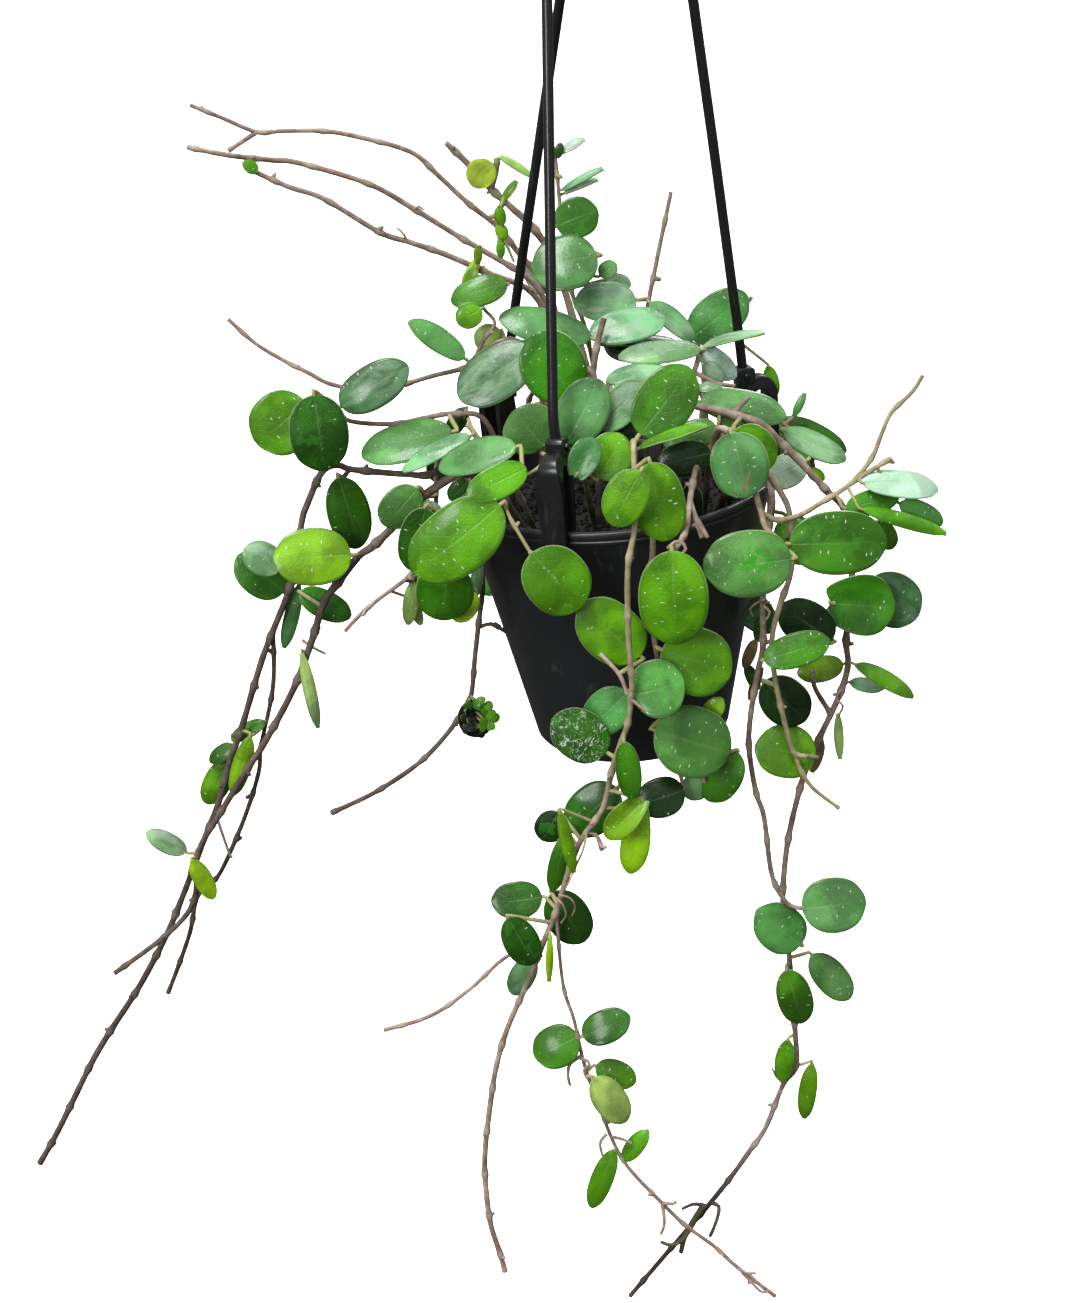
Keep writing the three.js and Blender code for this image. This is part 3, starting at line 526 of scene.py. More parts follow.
TONES = {
    "bright": light(90, 158, 14),
    "mid": light(60, 126, 14),
    "dark": light(42, 94, 12),
    "deep": light(22, 56, 14),
    "strip": light(20, 38, 22),
    "black": light(8, 16, 4),
    "lime": light(114, 164, 14),
    "yellow": light(158, 208, 24),
    # Brighter than the leaf's own yellow: painted light shining through the thin leaf.
    "gold": light(226, 240, 90),
    "young": light(152, 194, 98),
    "sage": light(84, 142, 62),
    "grey": light(82, 142, 74),
    # The pale and silver tones are partly the leaves' own grey-green and partly painted sheen.
    "pale": light(116, 172, 114),
    "silver": light(206, 236, 208),
    "slate": light(74, 114, 66),
    "dry": light(168, 140, 92),
}
TINTS = {
    # Whitish streaks on grey-blue leaves: partly pale bloom, partly painted sheen.
    "sheen_and_bloom": (0.4, 0.53, 0.41, 1),
    "rib": (0.3, 0.5, 0.16, 1),
    # A thin painted highlight on the rim at the leaf's edge.
    "rim": (0.34, 0.54, 0.2, 1),
    "rubbed": (0.04, 0.3, 0.012, 1),
    "fleck": (0.72, 0.8, 0.7, 1),
    "back": (0.26, 0.4, 0.13, 1),
    "withered_light": (0.42, 0.27, 0.12, 1),
    "withered_dark": (0.14, 0.09, 0.05, 1),
    # Painted shade on stems in the pot's mouth.
    "mouth_shade": (0.012, 0.009, 0.007, 1),
}
# Shaded and lit copies of a leaf's tone, for painted shade and painted highlight.
SHADE, LIT = 0.52, 1.45
print("leaf tones:", ", ".join(TONES))

# %% [markdown]
# ## The leaf finish
# It is built in the order a painter would work. First the ground: the leaf's tone, mottled darker
# and brighter with its own blotches and with painted shade and highlight, and painted sheen on the
# silvery ones. Then the lines: midrib, veins, a border of painted shade and a rim of painted
# highlight. Then what lies on top: rubbed patches and silver flecks. Last come the paler back and
# the dry parts. Each step gives the next one its colour.


# %% The leaf finish
def leaf_ground(tree, tone, where, span, out):
    """The mottled colour with painted shade, highlight and sheen; its shade; the reliefs of its
    blotches.
    """
    mottle_and_shading, fine = noise(tree, where, 70.0, 4.0), noise(tree, where, 420.0, 3.0)
    grain, broad_shading = noise(tree, where, 1300.0, 2.0), noise(tree, span, 0.42, 1.0)
    net = Flow(cells(tree, span, 5.5, feature="DISTANCE_TO_EDGE").outputs["Distance"])
    net = net.smooth(0.0, 0.12, 1.0, 0.0)
    shade, bright = scaled(tree, tone, SHADE), scaled(tree, tone, LIT)
    colour = tone
    # Blotches pull the tone toward its shaded and lit copies: partly the leaf's own mottle, partly
    # painted shade and highlight. The large zones are painted light and shade across the leaf, and
    # the darker band towards the edge is painted shade.
    for amount, toward in (
        (mottle_and_shading.smooth(0.46, 0.6, 0.0, 0.7), shade),
        (mottle_and_shading.smooth(0.48, 0.36, 0.0, 0.6), bright),
        ((fine.smooth(0.5, 0.72, 0.0, 0.25) + net * 0.12).least(1.0), bright),
        (grain.smooth(0.45, 0.7, 0.0, 0.3), shade),
        (broad_shading.smooth(0.5, 0.6, 0.0, 0.7), shade),
        (broad_shading.smooth(0.48, 0.38, 0.0, 0.6), bright),
        (out.smooth(0.5, 0.95, 0.0, 0.3), shade),
    ):
        colour = colour_mix(tree, amount, colour, toward)
    # Painted sheen: whitish streaks on the grey-blue leaves, partly their pale bloom and partly the
    # sheen of light from above.
    _, green, blue = tone.colour_parts()
    silvery_tone = (blue / green).smooth(0.2, 0.5)
    sheen_and_bloom = noise(tree, stretched(tree, span, (1.0, 0.5, 1)), 1.6, 5.0, 0.8)
    sheen_and_bloom = sheen_and_bloom.smooth(0.42, 0.62, 0.0, 0.6) * silvery_tone * (1 - out.smooth(0.78, 0.95))
    return colour_mix(tree, sheen_and_bloom, colour, TINTS["sheen_and_bloom"]), shade, (mottle_and_shading, fine, net, broad_shading)


def leaf_lines(tree, colour, shade, mottle_and_shading, along, out, luck):
    """The colour with midrib, veins, painted border shade and rim highlight, and the ribs' reliefs.
    """
    midrib = out.smooth(0.0, 0.075, 1.0, 0.0) * along.smooth(0.1, 0.95, 1.0, 0.1)
    ribs = abs((along * 6.0 - out * 2.1 + luck + mottle_and_shading * 0.5).fraction() - 0.5)
    veins = ribs.smooth(0.0, 0.12, 1.0, 0.0) * out.smooth(0.15, 0.9, 1.0, 0.1)
    colour = colour_mix(tree, midrib * 0.17 + veins * 0.03, colour, TINTS["rib"])
    # Painted shade along the border, then a thin painted highlight on the rim.
    colour = colour_mix(tree, out.smooth(0.84, 0.94, 0.0, 0.5), colour, shade)
    colour = colour_mix(tree, out.smooth(0.955, 0.985, 0.0, 0.75), colour, TINTS["rim"])
    return colour, midrib, veins


def rubbed_patches(tree, span, along, out, flecks, bare):
    """Where the silver bloom is rubbed off a little, or wiped off quite by a hand."""
    rubbed = noise(tree, span, 1.3, 3.0, 0.6).smooth(0.6, 0.63) * flecks.smooth(0.6, 0.8)
    rubbed = rubbed * out.smooth(0.7, 0.9, 1.0, 0.0) * 0.3
    wiped = noise(tree, span, 1.7, 4.0, 1.6).smooth(0.5, 0.52) * bare.above(0.2) * bare.below(0.3)
    wiped = wiped * (abs(along - 0.42) + out * 0.35).smooth(0.16, 0.28, 1.0, 0.0)
    return rubbed.most(wiped * 0.95)


def silver_flecks(tree, span, side, out, flecks):
    """Small dots, short dashes and, on a few leaves, curved splashes, on the upper side only."""
    dots = cells(tree, span, 3.2)
    luck, size, _ = Flow(dots.outputs["Color"]).colour_parts()
    near = Flow(dots.outputs["Distance"])
    dot = (size * 0.09 + 0.045 - near).smooth(0.0, 0.03) * luck.below(flecks * 0.7)
    dashes = cells(tree, stretched(tree, span, (1.0, 3.4, 1), 0.6), 1.7)
    luck = Flow(dashes.outputs["Color"]).colour_parts()[0]
    near = Flow(dashes.outputs["Distance"])
    dash = near.smooth(0.1, 0.17, 1.0, 0.0) * luck.below(flecks * 0.4)
    strokes = abs(noise(tree, span, 1.9, 1.5, 2.2) - 0.5).smooth(0.0, 0.03, 1.0, 0.0)
    splash = strokes * noise(tree, span, 5.5, 2.0).smooth(0.46, 0.52) * flecks.smooth(1.0, 1.5)
    above_side = side.smooth(-0.2, 0.2) * out.smooth(0.86, 0.95, 1.0, 0.0)
    return dot.most(dash).most(splash) * above_side


def withered_parts(tree, span, across, along, bare):
    """All of a dry leaf, or the ragged scar across a scarred one."""
    ragged = noise(tree, span, 4.0, 3.0) * 0.3
    slit = abs(across - 0.1 + (along - 0.75) * 1.4 + ragged - 0.15)
    scar = slit.smooth(0.05, 0.09, 1.0, 0.0) * abs(along - 0.76).smooth(0.13, 0.17, 1.0, 0.0)
    return bare.above(0.8).most(scar * bare.above(0.3))


def leaf_finish():
    constants = {"IOR": 1.45, "Specular_IOR_Level": 0.24, "Coat_Roughness": 0.17}
    finish, tree, shader = new_finish("fleshy_leaf", **constants)
    tone, span, where = read(tree, "tone", "Color"), read(tree, "span"), object_place(tree)
    flecks, bare, luck = read(tree, "marks").parts()
    across, along, side = read(tree, "blade").parts()
    out = abs(across)

    colour, shade, (mottle_and_shading, fine, net, broad_shading) = leaf_ground(tree, tone, where, span, out)
    colour, midrib, veins = leaf_lines(tree, colour, shade, mottle_and_shading, along, out, luck)
    rubbed = rubbed_patches(tree, span, along, out, flecks, bare)
    colour = colour_mix(tree, rubbed, colour, TINTS["rubbed"])
    silver = silver_flecks(tree, span, side, out, flecks)
    colour = colour_mix(tree, silver * 0.85, colour, TINTS["fleck"])

    below_side = side.smooth(0.15, -0.15)
    back = colour_mix(tree, 0.55, colour, TINTS["back"])
    colour = colour_mix(tree, below_side, colour, back)
    blotches = noise(tree, where, 260.0, 2.0)
    dry = colour_mix(tree, blotches, TINTS["withered_light"], TINTS["withered_dark"])
    withered = withered_parts(tree, span, across, along, bare)
    feed(tree, shader, "Base Color", colour_mix(tree, withered, colour, dry))
    feed(tree, shader, "Roughness", 0.24 + fine * 0.2 + silver * 0.1 + below_side * 0.16)
    feed(tree, shader, "Coat Weight", 0.4 * (1 - below_side))
    relief = mottle_and_shading * 0.6 + fine * 0.12 - midrib * 0.35 - veins * 0.1 + net * 0.12
    set_bump(tree, shader, relief + silver * 0.08 + broad_shading * 4.0, 0.0009, 0.6)
    return finish


leaf_skin = leaf_finish()
print("leaf finish:", len(leaf_skin.node_tree.nodes), "nodes")

# %% [markdown]
# ## Bark
# Old hoya stems are taupe, streaked and a little corky, with pale scars where leaves fell. The
# youngest shoots and the leaf stalks are green. The youth stored along each strand mixes the two.
# Down in the pot's mouth the stems are darkened nearly to black with painted shade.

# %% The bark finish
BARK = [(0.28, light(100, 82, 74)), (0.5, light(152, 130, 116)), (0.72, light(204, 184, 170))]
BARK_SCAR = (*light(196, 182, 160), 1)
GREEN_BARK = ((*light(104, 118, 50), 1), (*light(196, 188, 134), 1))
# Where painted shade falls on the stems in the pot's mouth: radii in metres, heights in millimetres
# from the rim.
MOUTH_SHADE_RADII, MOUTH_SHADE_HEIGHTS = (0.058, 0.071), (22, -6)


def bark_finish():
    finish, tree, shader = new_finish("stem_bark", IOR=1.45)
    young, knob = read(tree, "young").parts()[0], read(tree, "knob").parts()[0]
    where = object_place(tree)
    streaks, blots = noise(tree, where, 210.0, 5.0, 0.6), noise(tree, where, 45.0, 3.0)
    bark = ramp(tree, streaks * 0.6 + blots * 0.4, *BARK)
    scarred = colour_mix(tree, knob * 0.4, bark, BARK_SCAR)
    green = colour_mix(tree, streaks, *GREEN_BARK)
    dark = scaled(tree, scarred, 0.26)
    aged = colour_mix(tree, young.smooth(0.0, -0.8, 0.0, 0.95), scarred, dark)
    dry = colour_mix(tree, young.smooth(0.0, 1.0), aged, green)
    # Painted shade: inside the pot's mouth, from 22 mm above the rim down to 6 mm below it, the
    # stems darken nearly to black.
    x, y, z = where.parts()
    sideways, backwards = x - POT_AXIS[0] * MM, y - POT_AXIS[1] * MM
    inner, outer = (radius**2 for radius in MOUTH_SHADE_RADII)
    inwards = (sideways * sideways + backwards * backwards).smooth(inner, outer, 1.0, 0.0)
    mouth_shade = inwards * z.smooth(*((RIM_Z + height) * MM for height in MOUTH_SHADE_HEIGHTS))
    feed(tree, shader, "Base Color", colour_mix(tree, mouth_shade * 0.88, dry, TINTS["mouth_shade"]))
    feed(tree, shader, "Roughness", 0.62 + streaks * 0.25 - young * 0.15)
    set_bump(tree, shader, streaks + blots * 0.6, 0.0005, 0.7)
    return finish


stem_bark = bark_finish()
print("bark finish:", len(stem_bark.node_tree.nodes), "nodes")

# %% [markdown]
# ## Plastics and potting mix
# The pot is black moulded plastic with a soft sheen, fine turning lines, and pale scuffs and dust
# where it has been handled. The rods and clips are the same black, smoother. The mix is nearly
# black, damp and crumbly, so most of its look is in its shape.


# %% Black plastics, mix and floor
def plastic_finish(name, base, worn, rough, scuff_amount):
    finish, tree, shader = new_finish(name, IOR=1.48, Specular_IOR_Level=0.45)
    where = object_place(tree)
    cloud, grain = noise(tree, where, 24.0, 4.0), noise(tree, where, 900.0, 2.0)
    rubs = noise(tree, stretched(tree, where, (1.0, 1.0, 0.25)), 150.0, 6.0, 0.8)
    lines = noise(tree, stretched(tree, where, (0.2, 0.2, 1.0)), 520.0, 2.0)
    scuffs = (rubs.smooth(0.6, 0.74) * cloud.smooth(0.4, 0.65)) * scuff_amount
    dust = noise(tree, where, 620.0, 1.0).smooth(0.7, 0.76) * scuff_amount
    wear = (scuffs + dust * 0.5 + cloud * 0.12).least(1.0)
    feed(tree, shader, "Base Color", colour_mix(tree, wear, (*base, 1), (*worn, 1)))
    feed(tree, shader, "Roughness", rough + cloud * 0.12 + scuffs * 0.3 - grain * 0.05)
    set_bump(tree, shader, grain * 0.5 + lines * 0.5 + scuffs * 0.3, 0.00012, 0.6)
    return finish


MIX = [(0.3, light(9, 8, 7)), (0.62, light(20, 17, 15)), (0.85, light(56, 46, 36))]


def mix_finish():
    finish, tree, shader = new_finish("damp_mix", IOR=1.4)
    where = object_place(tree)
    lumps, fibres = noise(tree, where, 300.0, 5.0), noise(tree, where, 120.0, 3.0, 1.2)
    feed(tree, shader, "Base Color", ramp(tree, lumps * 0.5 + fibres * 0.5, *MIX))
    feed(tree, shader, "Roughness", 0.78 + fibres * 0.2)
    set_bump(tree, shader, lumps, 0.0008, 0.8)
    return finish


WHITE = (1, 1, 1, 1)
pot_black = plastic_finish("pot_black", light(31, 33, 36), light(92, 93, 92), 0.32, 0.45)
rod_black = plastic_finish("rod_black", light(20, 21, 23), light(74, 74, 72), 0.22, 0.25)
damp_mix = mix_finish()
floor_white, _, _ = new_finish(
    "floor_white",
    Roughness=0.9,
    Base_Color=(0.9, 0.9, 0.9, 1),
    Emission_Color=WHITE,
    Emission_Strength=1.0,
)
print("finishes:", ", ".join(m.name for m in bpy.data.materials))

# %% [markdown]
# ## The plant, written down
# Each vine gives its root on the mix, its thickness, its stems as picture points with a depth,
# and its leaves: base point, tip point, the depths of both, width, tilt and tone. A mark after a
# tone asks for something more: `*` for more silver flecks, `!` for a scar, `^` for a blade folded
# along its midrib, `~` for a wiped patch. Scraps are leaves too, but small, dry or half hidden,
# and too slight to be solids. Curls are thin air roots and twigs, with a radius, a youth and a
# path. Youths are those of the bark at the root, at the tip and on side shoots; slimness is the
# share of the radius at the root and at the tip.

# %% Vines seen from the front
VINES = {
    "vine_high_a": {
        "root": (-10, 50), "radius": 1.8, "youths": (0.25, 0.0), "slimness": (0.84, 0.46),
        "stems": [
            [(555, 310, 58), (535, 272, 58), (518, 252, 57), (498, 227, 55), (468, 203, 52),
             (439, 176, 50), (411, 152, 46), (359, 137, 40), (322, 131, 36), (282, 131, 32),
             (257, 132, 30), (220, 117, 26), (190, 105, 24)],
            [(257, 132, 30), (228, 151, 27)],
        ],
        "leaves": [
            (545, 292, 526, 262, 60, 60, 10, 10, "silver"),
        ],
    },
    "vine_high_b": {
        "root": (-20, 48), "radius": 1.8, "youths": (0.3, 0.0),
        "stems": [
            [(550, 325, 50), (538, 289, 51), (518, 271, 51), (463, 239, 47), (414, 209, 42),
             (369, 184, 36), (299, 163, 30), (270, 160, 28), (227, 155, 21), (187, 147, 18)],
        ],
        "curls": [
            (0.6, 0.2, [(414, 209, 41), (420, 206, 40), (424, 210, 40)]),
        ],
    },
    "vine_high_c": {
        "root": (-30, 40), "radius": 1.9, "youths": (0.3, 0.05),
        "stems": [
            [(545, 330, 44), (535, 296, 46), (520, 285, 46), (491, 274, 42), (444, 254, 37),
             (409, 242, 32), (379, 232, 28), (324, 199, 22), (289, 187, 18), (255, 172, 14)],
        ],
        "leaves": [
            (257, 172, 243, 162, 13, 12, 6, 20, "bright"),
            (479, 258, 463, 286, 38, 37, 5, 0, "yellow"),
        ],
        "curls": [
            (0.6, 0.3, [(409, 243, 31), (402, 232, 30), (397, 228, 30)]),
        ],
    },
    "vine_cut_shoot": {
        "root": (2, 42), "radius": 2.3, "youths": (0.3, 0.2, 1.0),
        "stems": [
            [(563, 285, 48), (538, 234, 48), (513, 209, 46), (491, 189, 44), (466, 162, 42),
             (446, 143, 40)],
            [(491, 189, 44), (496, 172, 41), (497, 158, 40)],
            [(505, 200, 45), (497, 215, 43), (500, 232, 43), (498, 252, 42)],
        ],
        "leaves": [
            (488, 186, 473, 160, 38, 36, 13.5, 0, "gold"),
            (500, 157, 532, 177, 40, 42, 4, 30, "young"),
            (503, 199, 517, 181, 41, 41, 4, 0, "young"),
        ],
        "scraps": [
            (517, 181, 503, 201, 20, 20, 4, 20, "lime"),
            (499, 206, 502, 226, 19, 19, 5, 0, "bright"),
            (497, 225, 506, 239, 19, 19, 6, 20, "lime"),
            (500, 240, 501, 258, 18, 18, 4, 0, "bright"),
            (478, 246, 478, 264, 18, 18, 4, 0, "lime"),
            (476, 268, 468, 286, 18, 18, 6, 20, "lime"),
        ],
        "curls": [
            (1.0, 1.0, [(516, 182, 22), (505, 196, 20), (500, 214, 19), (502, 236, 19),
             (500, 258, 19)]),
            (0.8, 1.0, [(502, 236, 19), (508, 248, 19), (514, 262, 20)]),
            (0.8, 1.0, [(480, 246, 20), (478, 262, 20), (470, 284, 20)]),
        ],
    },
    "vine_upright": {
        "root": (0, 14), "radius": 1.3, "youths": (0.5, 0.5),
        "stems": [
            [(588, 340, 20), (574, 300, 20), (566, 262, 18), (565, 240, 16), (560, 206, 14),
             (556, 163, 13), (552, 143, 13)],
        ],
        "leaves": [
            (560, 153, 585, 139, 12, 12, 4.5, 30, "silver"),
            (557, 158, 561, 143, 10, 10, 4, 0, "dark"),
            (564, 190, 603, 168, 13, 13, 4, 40, "pale"),
            (565, 193, 598, 179, 16, 16, 3.5, 40, "silver"),
            (556, 226, 598, 210, 8, 10, 18, 10, "mid"),
            (597, 256, 532, 272, 0, -2, 26, 25, "grey*"),
            (600, 276, 616, 263, 4, 6, 8, 10, "grey"),
            (606, 280, 631, 285, 20, 20, 8, 20, "pale"),
        ],
    },
    "vine_crown_right": {
        "root": (16, 14), "radius": 1.5,
        "stems": [
            [(645, 340, 12), (649, 300, 14), (655, 269, 14), (662, 235, 14), (671, 192, 14)],
            [(645, 340, 12), (622, 325, 6), (600, 330, 2)],
        ],
        "leaves": [
            (636, 300, 574, 306, 8, 3, 20, 30, "pale"),
            (590, 335, 666, 318, -6, -2, 18, 30, "pale"),
            (650, 303, 694, 340, 8, 6, 10, 20, "pale"),
            (604, 345, 678, 342, 4, 8, 9, 60, "strip"),
        ],
        "scraps": [
            (646, 352, 604, 345, 8, 10, 13, 20, "strip"),
        ],
    },
    "vine_crown_left": {
        "root": (-8, -14), "radius": 2.1,
        "stems": [
            [(594, 385, -16), (593, 373, -15), (597, 345, -14), (604, 318, -13)],
            [(593, 373, -15), (565, 360, -13), (540, 345, -10)],
        ],
        "leaves": [
            (590, 338, 499, 316, -9, -5, 18, 30, "grey*"),
            (572, 398, 533, 334, -24, -18, 28, 0, "mid*"),
            (532, 350, 459, 399, -15, -20, 25, 20, "slate"),
        ],
    },
    "vine_left_bare": {
        "root": (-34, 4), "radius": 1.5,
        "stems": [
            [(540, 360, 0), (520, 342, -1), (498, 342, -4), (476, 356, -7), (467, 367, -8),
             (432, 376, -12), (379, 390, -16), (334, 385, -17), (307, 372, -18), (283, 360, -18),
             (255, 343, -18), (228, 319, -18)],
            [(476, 356, -7), (484, 339, -6), (495, 323, -5), (484, 309, -4), (480, 300, -3)],
        ],
        "leaves": [
            (507, 284, 451, 302, -3, -4, 14, 20, "mid"),
            (481, 309, 457, 323, -9, -10, 11, 0, "bright"),
            (500, 330, 476, 346, 6, 6, 12, 0, "young"),
            (464, 358, 409, 321, -12, -14, 12, 30, "grey"),
        ],
    },
    "vine_left_pair": {
        "root": (-46, -14), "radius": 1.6, "youths": (-0.5, -0.3),
        "stems": [
            [(488, 425, -22), (455, 414, -23), (425, 418, -24), (393, 424, -26), (350, 421, -27),
             (338, 409, -28)],
        ],
        "leaves": [
            (341, 406, 408, 365, -29, -27, 19, 10, "slate"),
            (306, 402, 256, 444, -33, -36, 27, 0, "bright*"),
            (314, 395, 324, 471, -42, -44, 25, 0, "dark*"),
            (452, 432, 361, 455, -33, -36, 21, 35, "grey*"),
            (470, 436, 402, 471, -42, -46, 10, 40, "pale"),
            (466, 408, 448, 436, -19, -19, 8, 0, "dark"),
        ],
    },
    "vine_left_low": {
        "root": (-52, -26), "radius": 1.7, "youths": (-0.6, -0.8), "slimness": (0.84, 0.96),
        "stems": [
            [(462, 456, -31), (432, 474, -32), (405, 474, -33), (378, 472, -33), (350, 469, -34),
             (337, 465, -34), (322, 472, -34), (307, 505, -34), (302, 521, -34), (291, 583, -34),
             (273, 631, -34), (261, 663, -34), (241, 730, -34), (231, 758, -34), (218, 805, -34),
             (202, 845, -34), (186, 888, -34), (166, 936, -34), (139, 987, -34), (111, 1030, -34),
             (91, 1064, -34), (59, 1129, -34), (40, 1163, -34)],
            [(350, 469, -34), (343, 478, -35)],
            [(273, 631, -34), (273, 686, -28), (261, 746, -27), (259, 770, -27), (249, 805, -27),
             (235, 841, -27), (218, 876, -27), (198, 896, -27), (190, 932, -27), (178, 967, -27),
             (168, 993, -27)],
        ],
        "leaves": [
            (338, 478, 359, 549, -38, -36, 19, 10, "dark"),
            (281, 568, 244, 548, -38, -38, 15, 0, "pale"),
            (284, 592, 237, 556, -31, -30, 20, 0, "mid"),
            (299, 585, 284, 648, -30, -28, 7, 0, "grey"),
            (265, 722, 231, 740, -29, -29, 8, 20, "mid"),
            (233, 745, 210, 762, -31, -31, 8, 20, "dark"),
            (228, 760, 206, 804, -29, -29, 13, 0, "bright"),
            (250, 737, 233, 795, -38, -38, 9, 0, "lime"),
        ],
        "curls": [
            (0.8, 0.2, [(302, 640, -34), (314, 648, -36), (326, 654, -37)]),
            (0.8, 0.1, [(215, 812, -34), (228, 850, -34), (232, 858, -34)]),
        ],
    },
    "vine_left_long": {
        "root": (-44, -32), "radius": 2.5, "youths": (-0.6, -0.7, -0.8), "slimness": (0.84, 0.5),
        "stems": [
            [(481, 474, -38), (455, 476, -43), (415, 503, -43), (393, 527, -43), (372, 547, -43),
             (359, 556, -43), (341, 579, -43), (324, 603, -43), (311, 643, -43), (293, 690, -43),
             (265, 742, -43), (245, 773, -43), (218, 817, -43), (198, 853, -43), (194, 900, -42),
             (170, 932, -42), (115, 973, -42)],
        ],
        "leaves": [
            (351, 555, 273, 560, -50, -54, 25, 5, "lime"),
            (417, 488, 383, 525, -47, -48, 17, -10, "sage"),
            (300, 592, 351, 617, -34, -34, 13, 0, "mid"),
            (302, 654, 318, 728, -46, -46, 6, 0, "young"),
            (186, 852, 146, 832, -44, -44, 10, 10, "pale"),
            (192, 860, 214, 899, -46, -46, 9, 0, "yellow"),
        ],
    },
    "vine_left_under": {
        "root": (-38, -44), "radius": 1.5, "youths": (-0.3, 0.1),
        "stems": [
            [(512, 484, -50), (488, 486, -57), (466, 496, -58), (445, 520, -58), (425, 550, -57),
             (410, 575, -56), (379, 599, -54), (361, 614, -53), (345, 631, -52)],
        ],
        "leaves": [
            (425, 508, 412, 571, -64, -62, 17, 0, "dark"),
            (446, 562, 442, 621, -63, -60, 25, 0, "mid"),
            (475, 592, 455, 621, -54, -53, 11, 0, "yellow"),
            (413, 582, 408, 625, -50, -49, 7, 0, "young"),
            (468, 480, 450, 500, -50, -50, 9, 0, "dark"),
        ],
        "scraps": [
            (416, 578, 406, 606, -46, -46, 4, 40, "dry"),
            (412, 600, 421, 625, -44, -44, 5, 0, "young"),
            (420, 584, 428, 612, -44, -44, 5, 30, "bright"),
        ],
    },
    "vine_thin_hanging": {
        "root": (-52, -10), "radius": 1.1, "youths": (-0.4, -0.7), "slimness": (1.1, 1.1),
        "stems": [
            [(474, 450, -22), (457, 470, -29), (462, 530, -31), (482, 575, -26), (478, 628, -24),
             (475, 656, -24), (472, 690, -24), (468, 701, -24), (450, 730, -24), (420, 762, -24),
             (379, 790, -24), (349, 805, -24), (331, 813, -24)],
            [(478, 628, -24), (491, 624, -24), (506, 632, -24)],
        ],
        "leaves": [
            (470, 700, 481, 737, -26, -26, 16, 0, "black"),
            (480, 562, 474, 598, -31, -31, 6, 0, "pale"),
        ],
    },
    "vine_front_left": {
        "root": (-28, -40), "radius": 1.5, "youths": (0.7, 0.6), "slimness": (0.7, 0.5),
        "stems": [
            [(556, 458, -46), (536, 470, -50), (512, 486, -70), (506, 508, -80), (530, 552, -88)],
            [(512, 486, -70), (524, 472, -74)],
        ],
        "leaves": [
            (532, 553, 580, 609, -90, -90, 27, 0, "bright*"),
            (500, 505, 413, 573, -82, -80, 29, 0, "bright*"),
            (526, 468, 467, 497, -74, -80, 14, 4, "bright"),
            (516, 447, 438, 468, -62, -58, 17, 35, "grey"),
        ],
    },
    "vine_front_main": {
        "root": (8, -34), "radius": 1.9, "youths": (0.62, 0.0), "slimness": (0.6, 0.78),
        "stems": [
            [(634, 444, -66), (634, 470, -80), (635, 524, -94), (628, 567, -98), (628, 620, -98),
             (630, 661, -98), (632, 687, -97), (628, 722, -95), (620, 745, -94), (612, 769, -93),
             (603, 808, -92), (581, 840, -91), (567, 876, -90), (556, 912, -90), (544, 941, -89),
             (527, 984, -88), (509, 1024, -87), (497, 1063, -87), (490, 1106, -86),
             (485, 1153, -86), (486, 1189, -86), (491, 1225, -86), (500, 1253, -86),
             (505, 1271, -86)],
            [(627, 694, -96), (619, 674, -93), (600, 654, -90)],
            [(544, 941, -89), (506, 957, -86), (470, 989, -83), (430, 1016, -80),
             (384, 1030, -78)],
            [(556, 912, -90), (563, 984, -88), (574, 1020, -87), (585, 1067, -86),
             (597, 1099, -86), (612, 1139, -86), (628, 1167, -86), (660, 1201, -86),
             (685, 1225, -86), (714, 1246, -86), (736, 1266, -86), (775, 1296, -86)],
            [(587, 832, -91), (597, 836, -91), (602, 850, -91)],
        ],
        "leaves": [
            (640, 434, 690, 367, -62, -54, 24, 0, "mid*"),
            (640, 448, 708, 426, -66, -70, 12, 70, "bright"),
            (641, 471, 612, 526, -96, -98, 18, 0, "bright*"),
            (650, 463, 668, 541, -86, -88, 22, 0, "bright*"),
            (640, 656, 580, 604, -85, -84, 25, 0, "bright"),
            (632, 695, 684, 680, -94, -93, 25, 0, "sage*"),
            (627, 692, 588, 730, -85, -83, 19, 0, "grey*"),
            (606, 752, 553, 718, -90, -89, 22, 0, "dark**"),
            (624, 742, 632, 799, -102, -101, 11, 0, "mid"),
            (617, 788, 569, 830, -81, -81, 22, 0, "dark"),
            (641, 801, 606, 838, -98, -98, 13, 0, "lime^"),
            (640, 812, 630, 874, -87, -87, 13, 0, "yellow^"),
            (558, 812, 542, 840, -76, -76, 14, 0, "deep*"),
            (560, 812, 574, 873, -97, -97, 6, 0, "lime"),
            (566, 835, 552, 892, -84, -84, 9, 0, "mid"),
            (542, 897, 491, 902, -82, -82, 17, 0, "dark"),
            (508, 918, 534, 964, -95, -95, 16, 0, "dark*"),
            (552, 893, 585, 942, -81, -81, 20, 0, "dark"),
            (533, 957, 512, 995, -79, -79, 12, 0, "grey"),
            (550, 936, 549, 982, -94, -94, 3.5, 0, "yellow"),
            (578, 1036, 534, 1056, -86, -86, 20, 0, "mid"),
            (583, 1036, 630, 1016, -86, -86, 16, 0, "dark"),
            (596, 1066, 636, 1082, -84, -84, 13, 0, "bright*"),
            (594, 1078, 626, 1122, -91, -91, 16, 0, "young"),
            (624, 1160, 648, 1130, -86, -86, 9, 0, "bright"),
            (614, 1150, 591, 1208, -86, -86, 11, 0, "bright"),
        ],
        "curls": [
            (0.5, 0.2, [(556, 898, -92), (563, 905, -95), (566, 915, -94), (561, 923, -93)]),
            (0.5, 0.3, [(559, 895, -92), (570, 898, -96), (575, 907, -95), (572, 916, -93)]),
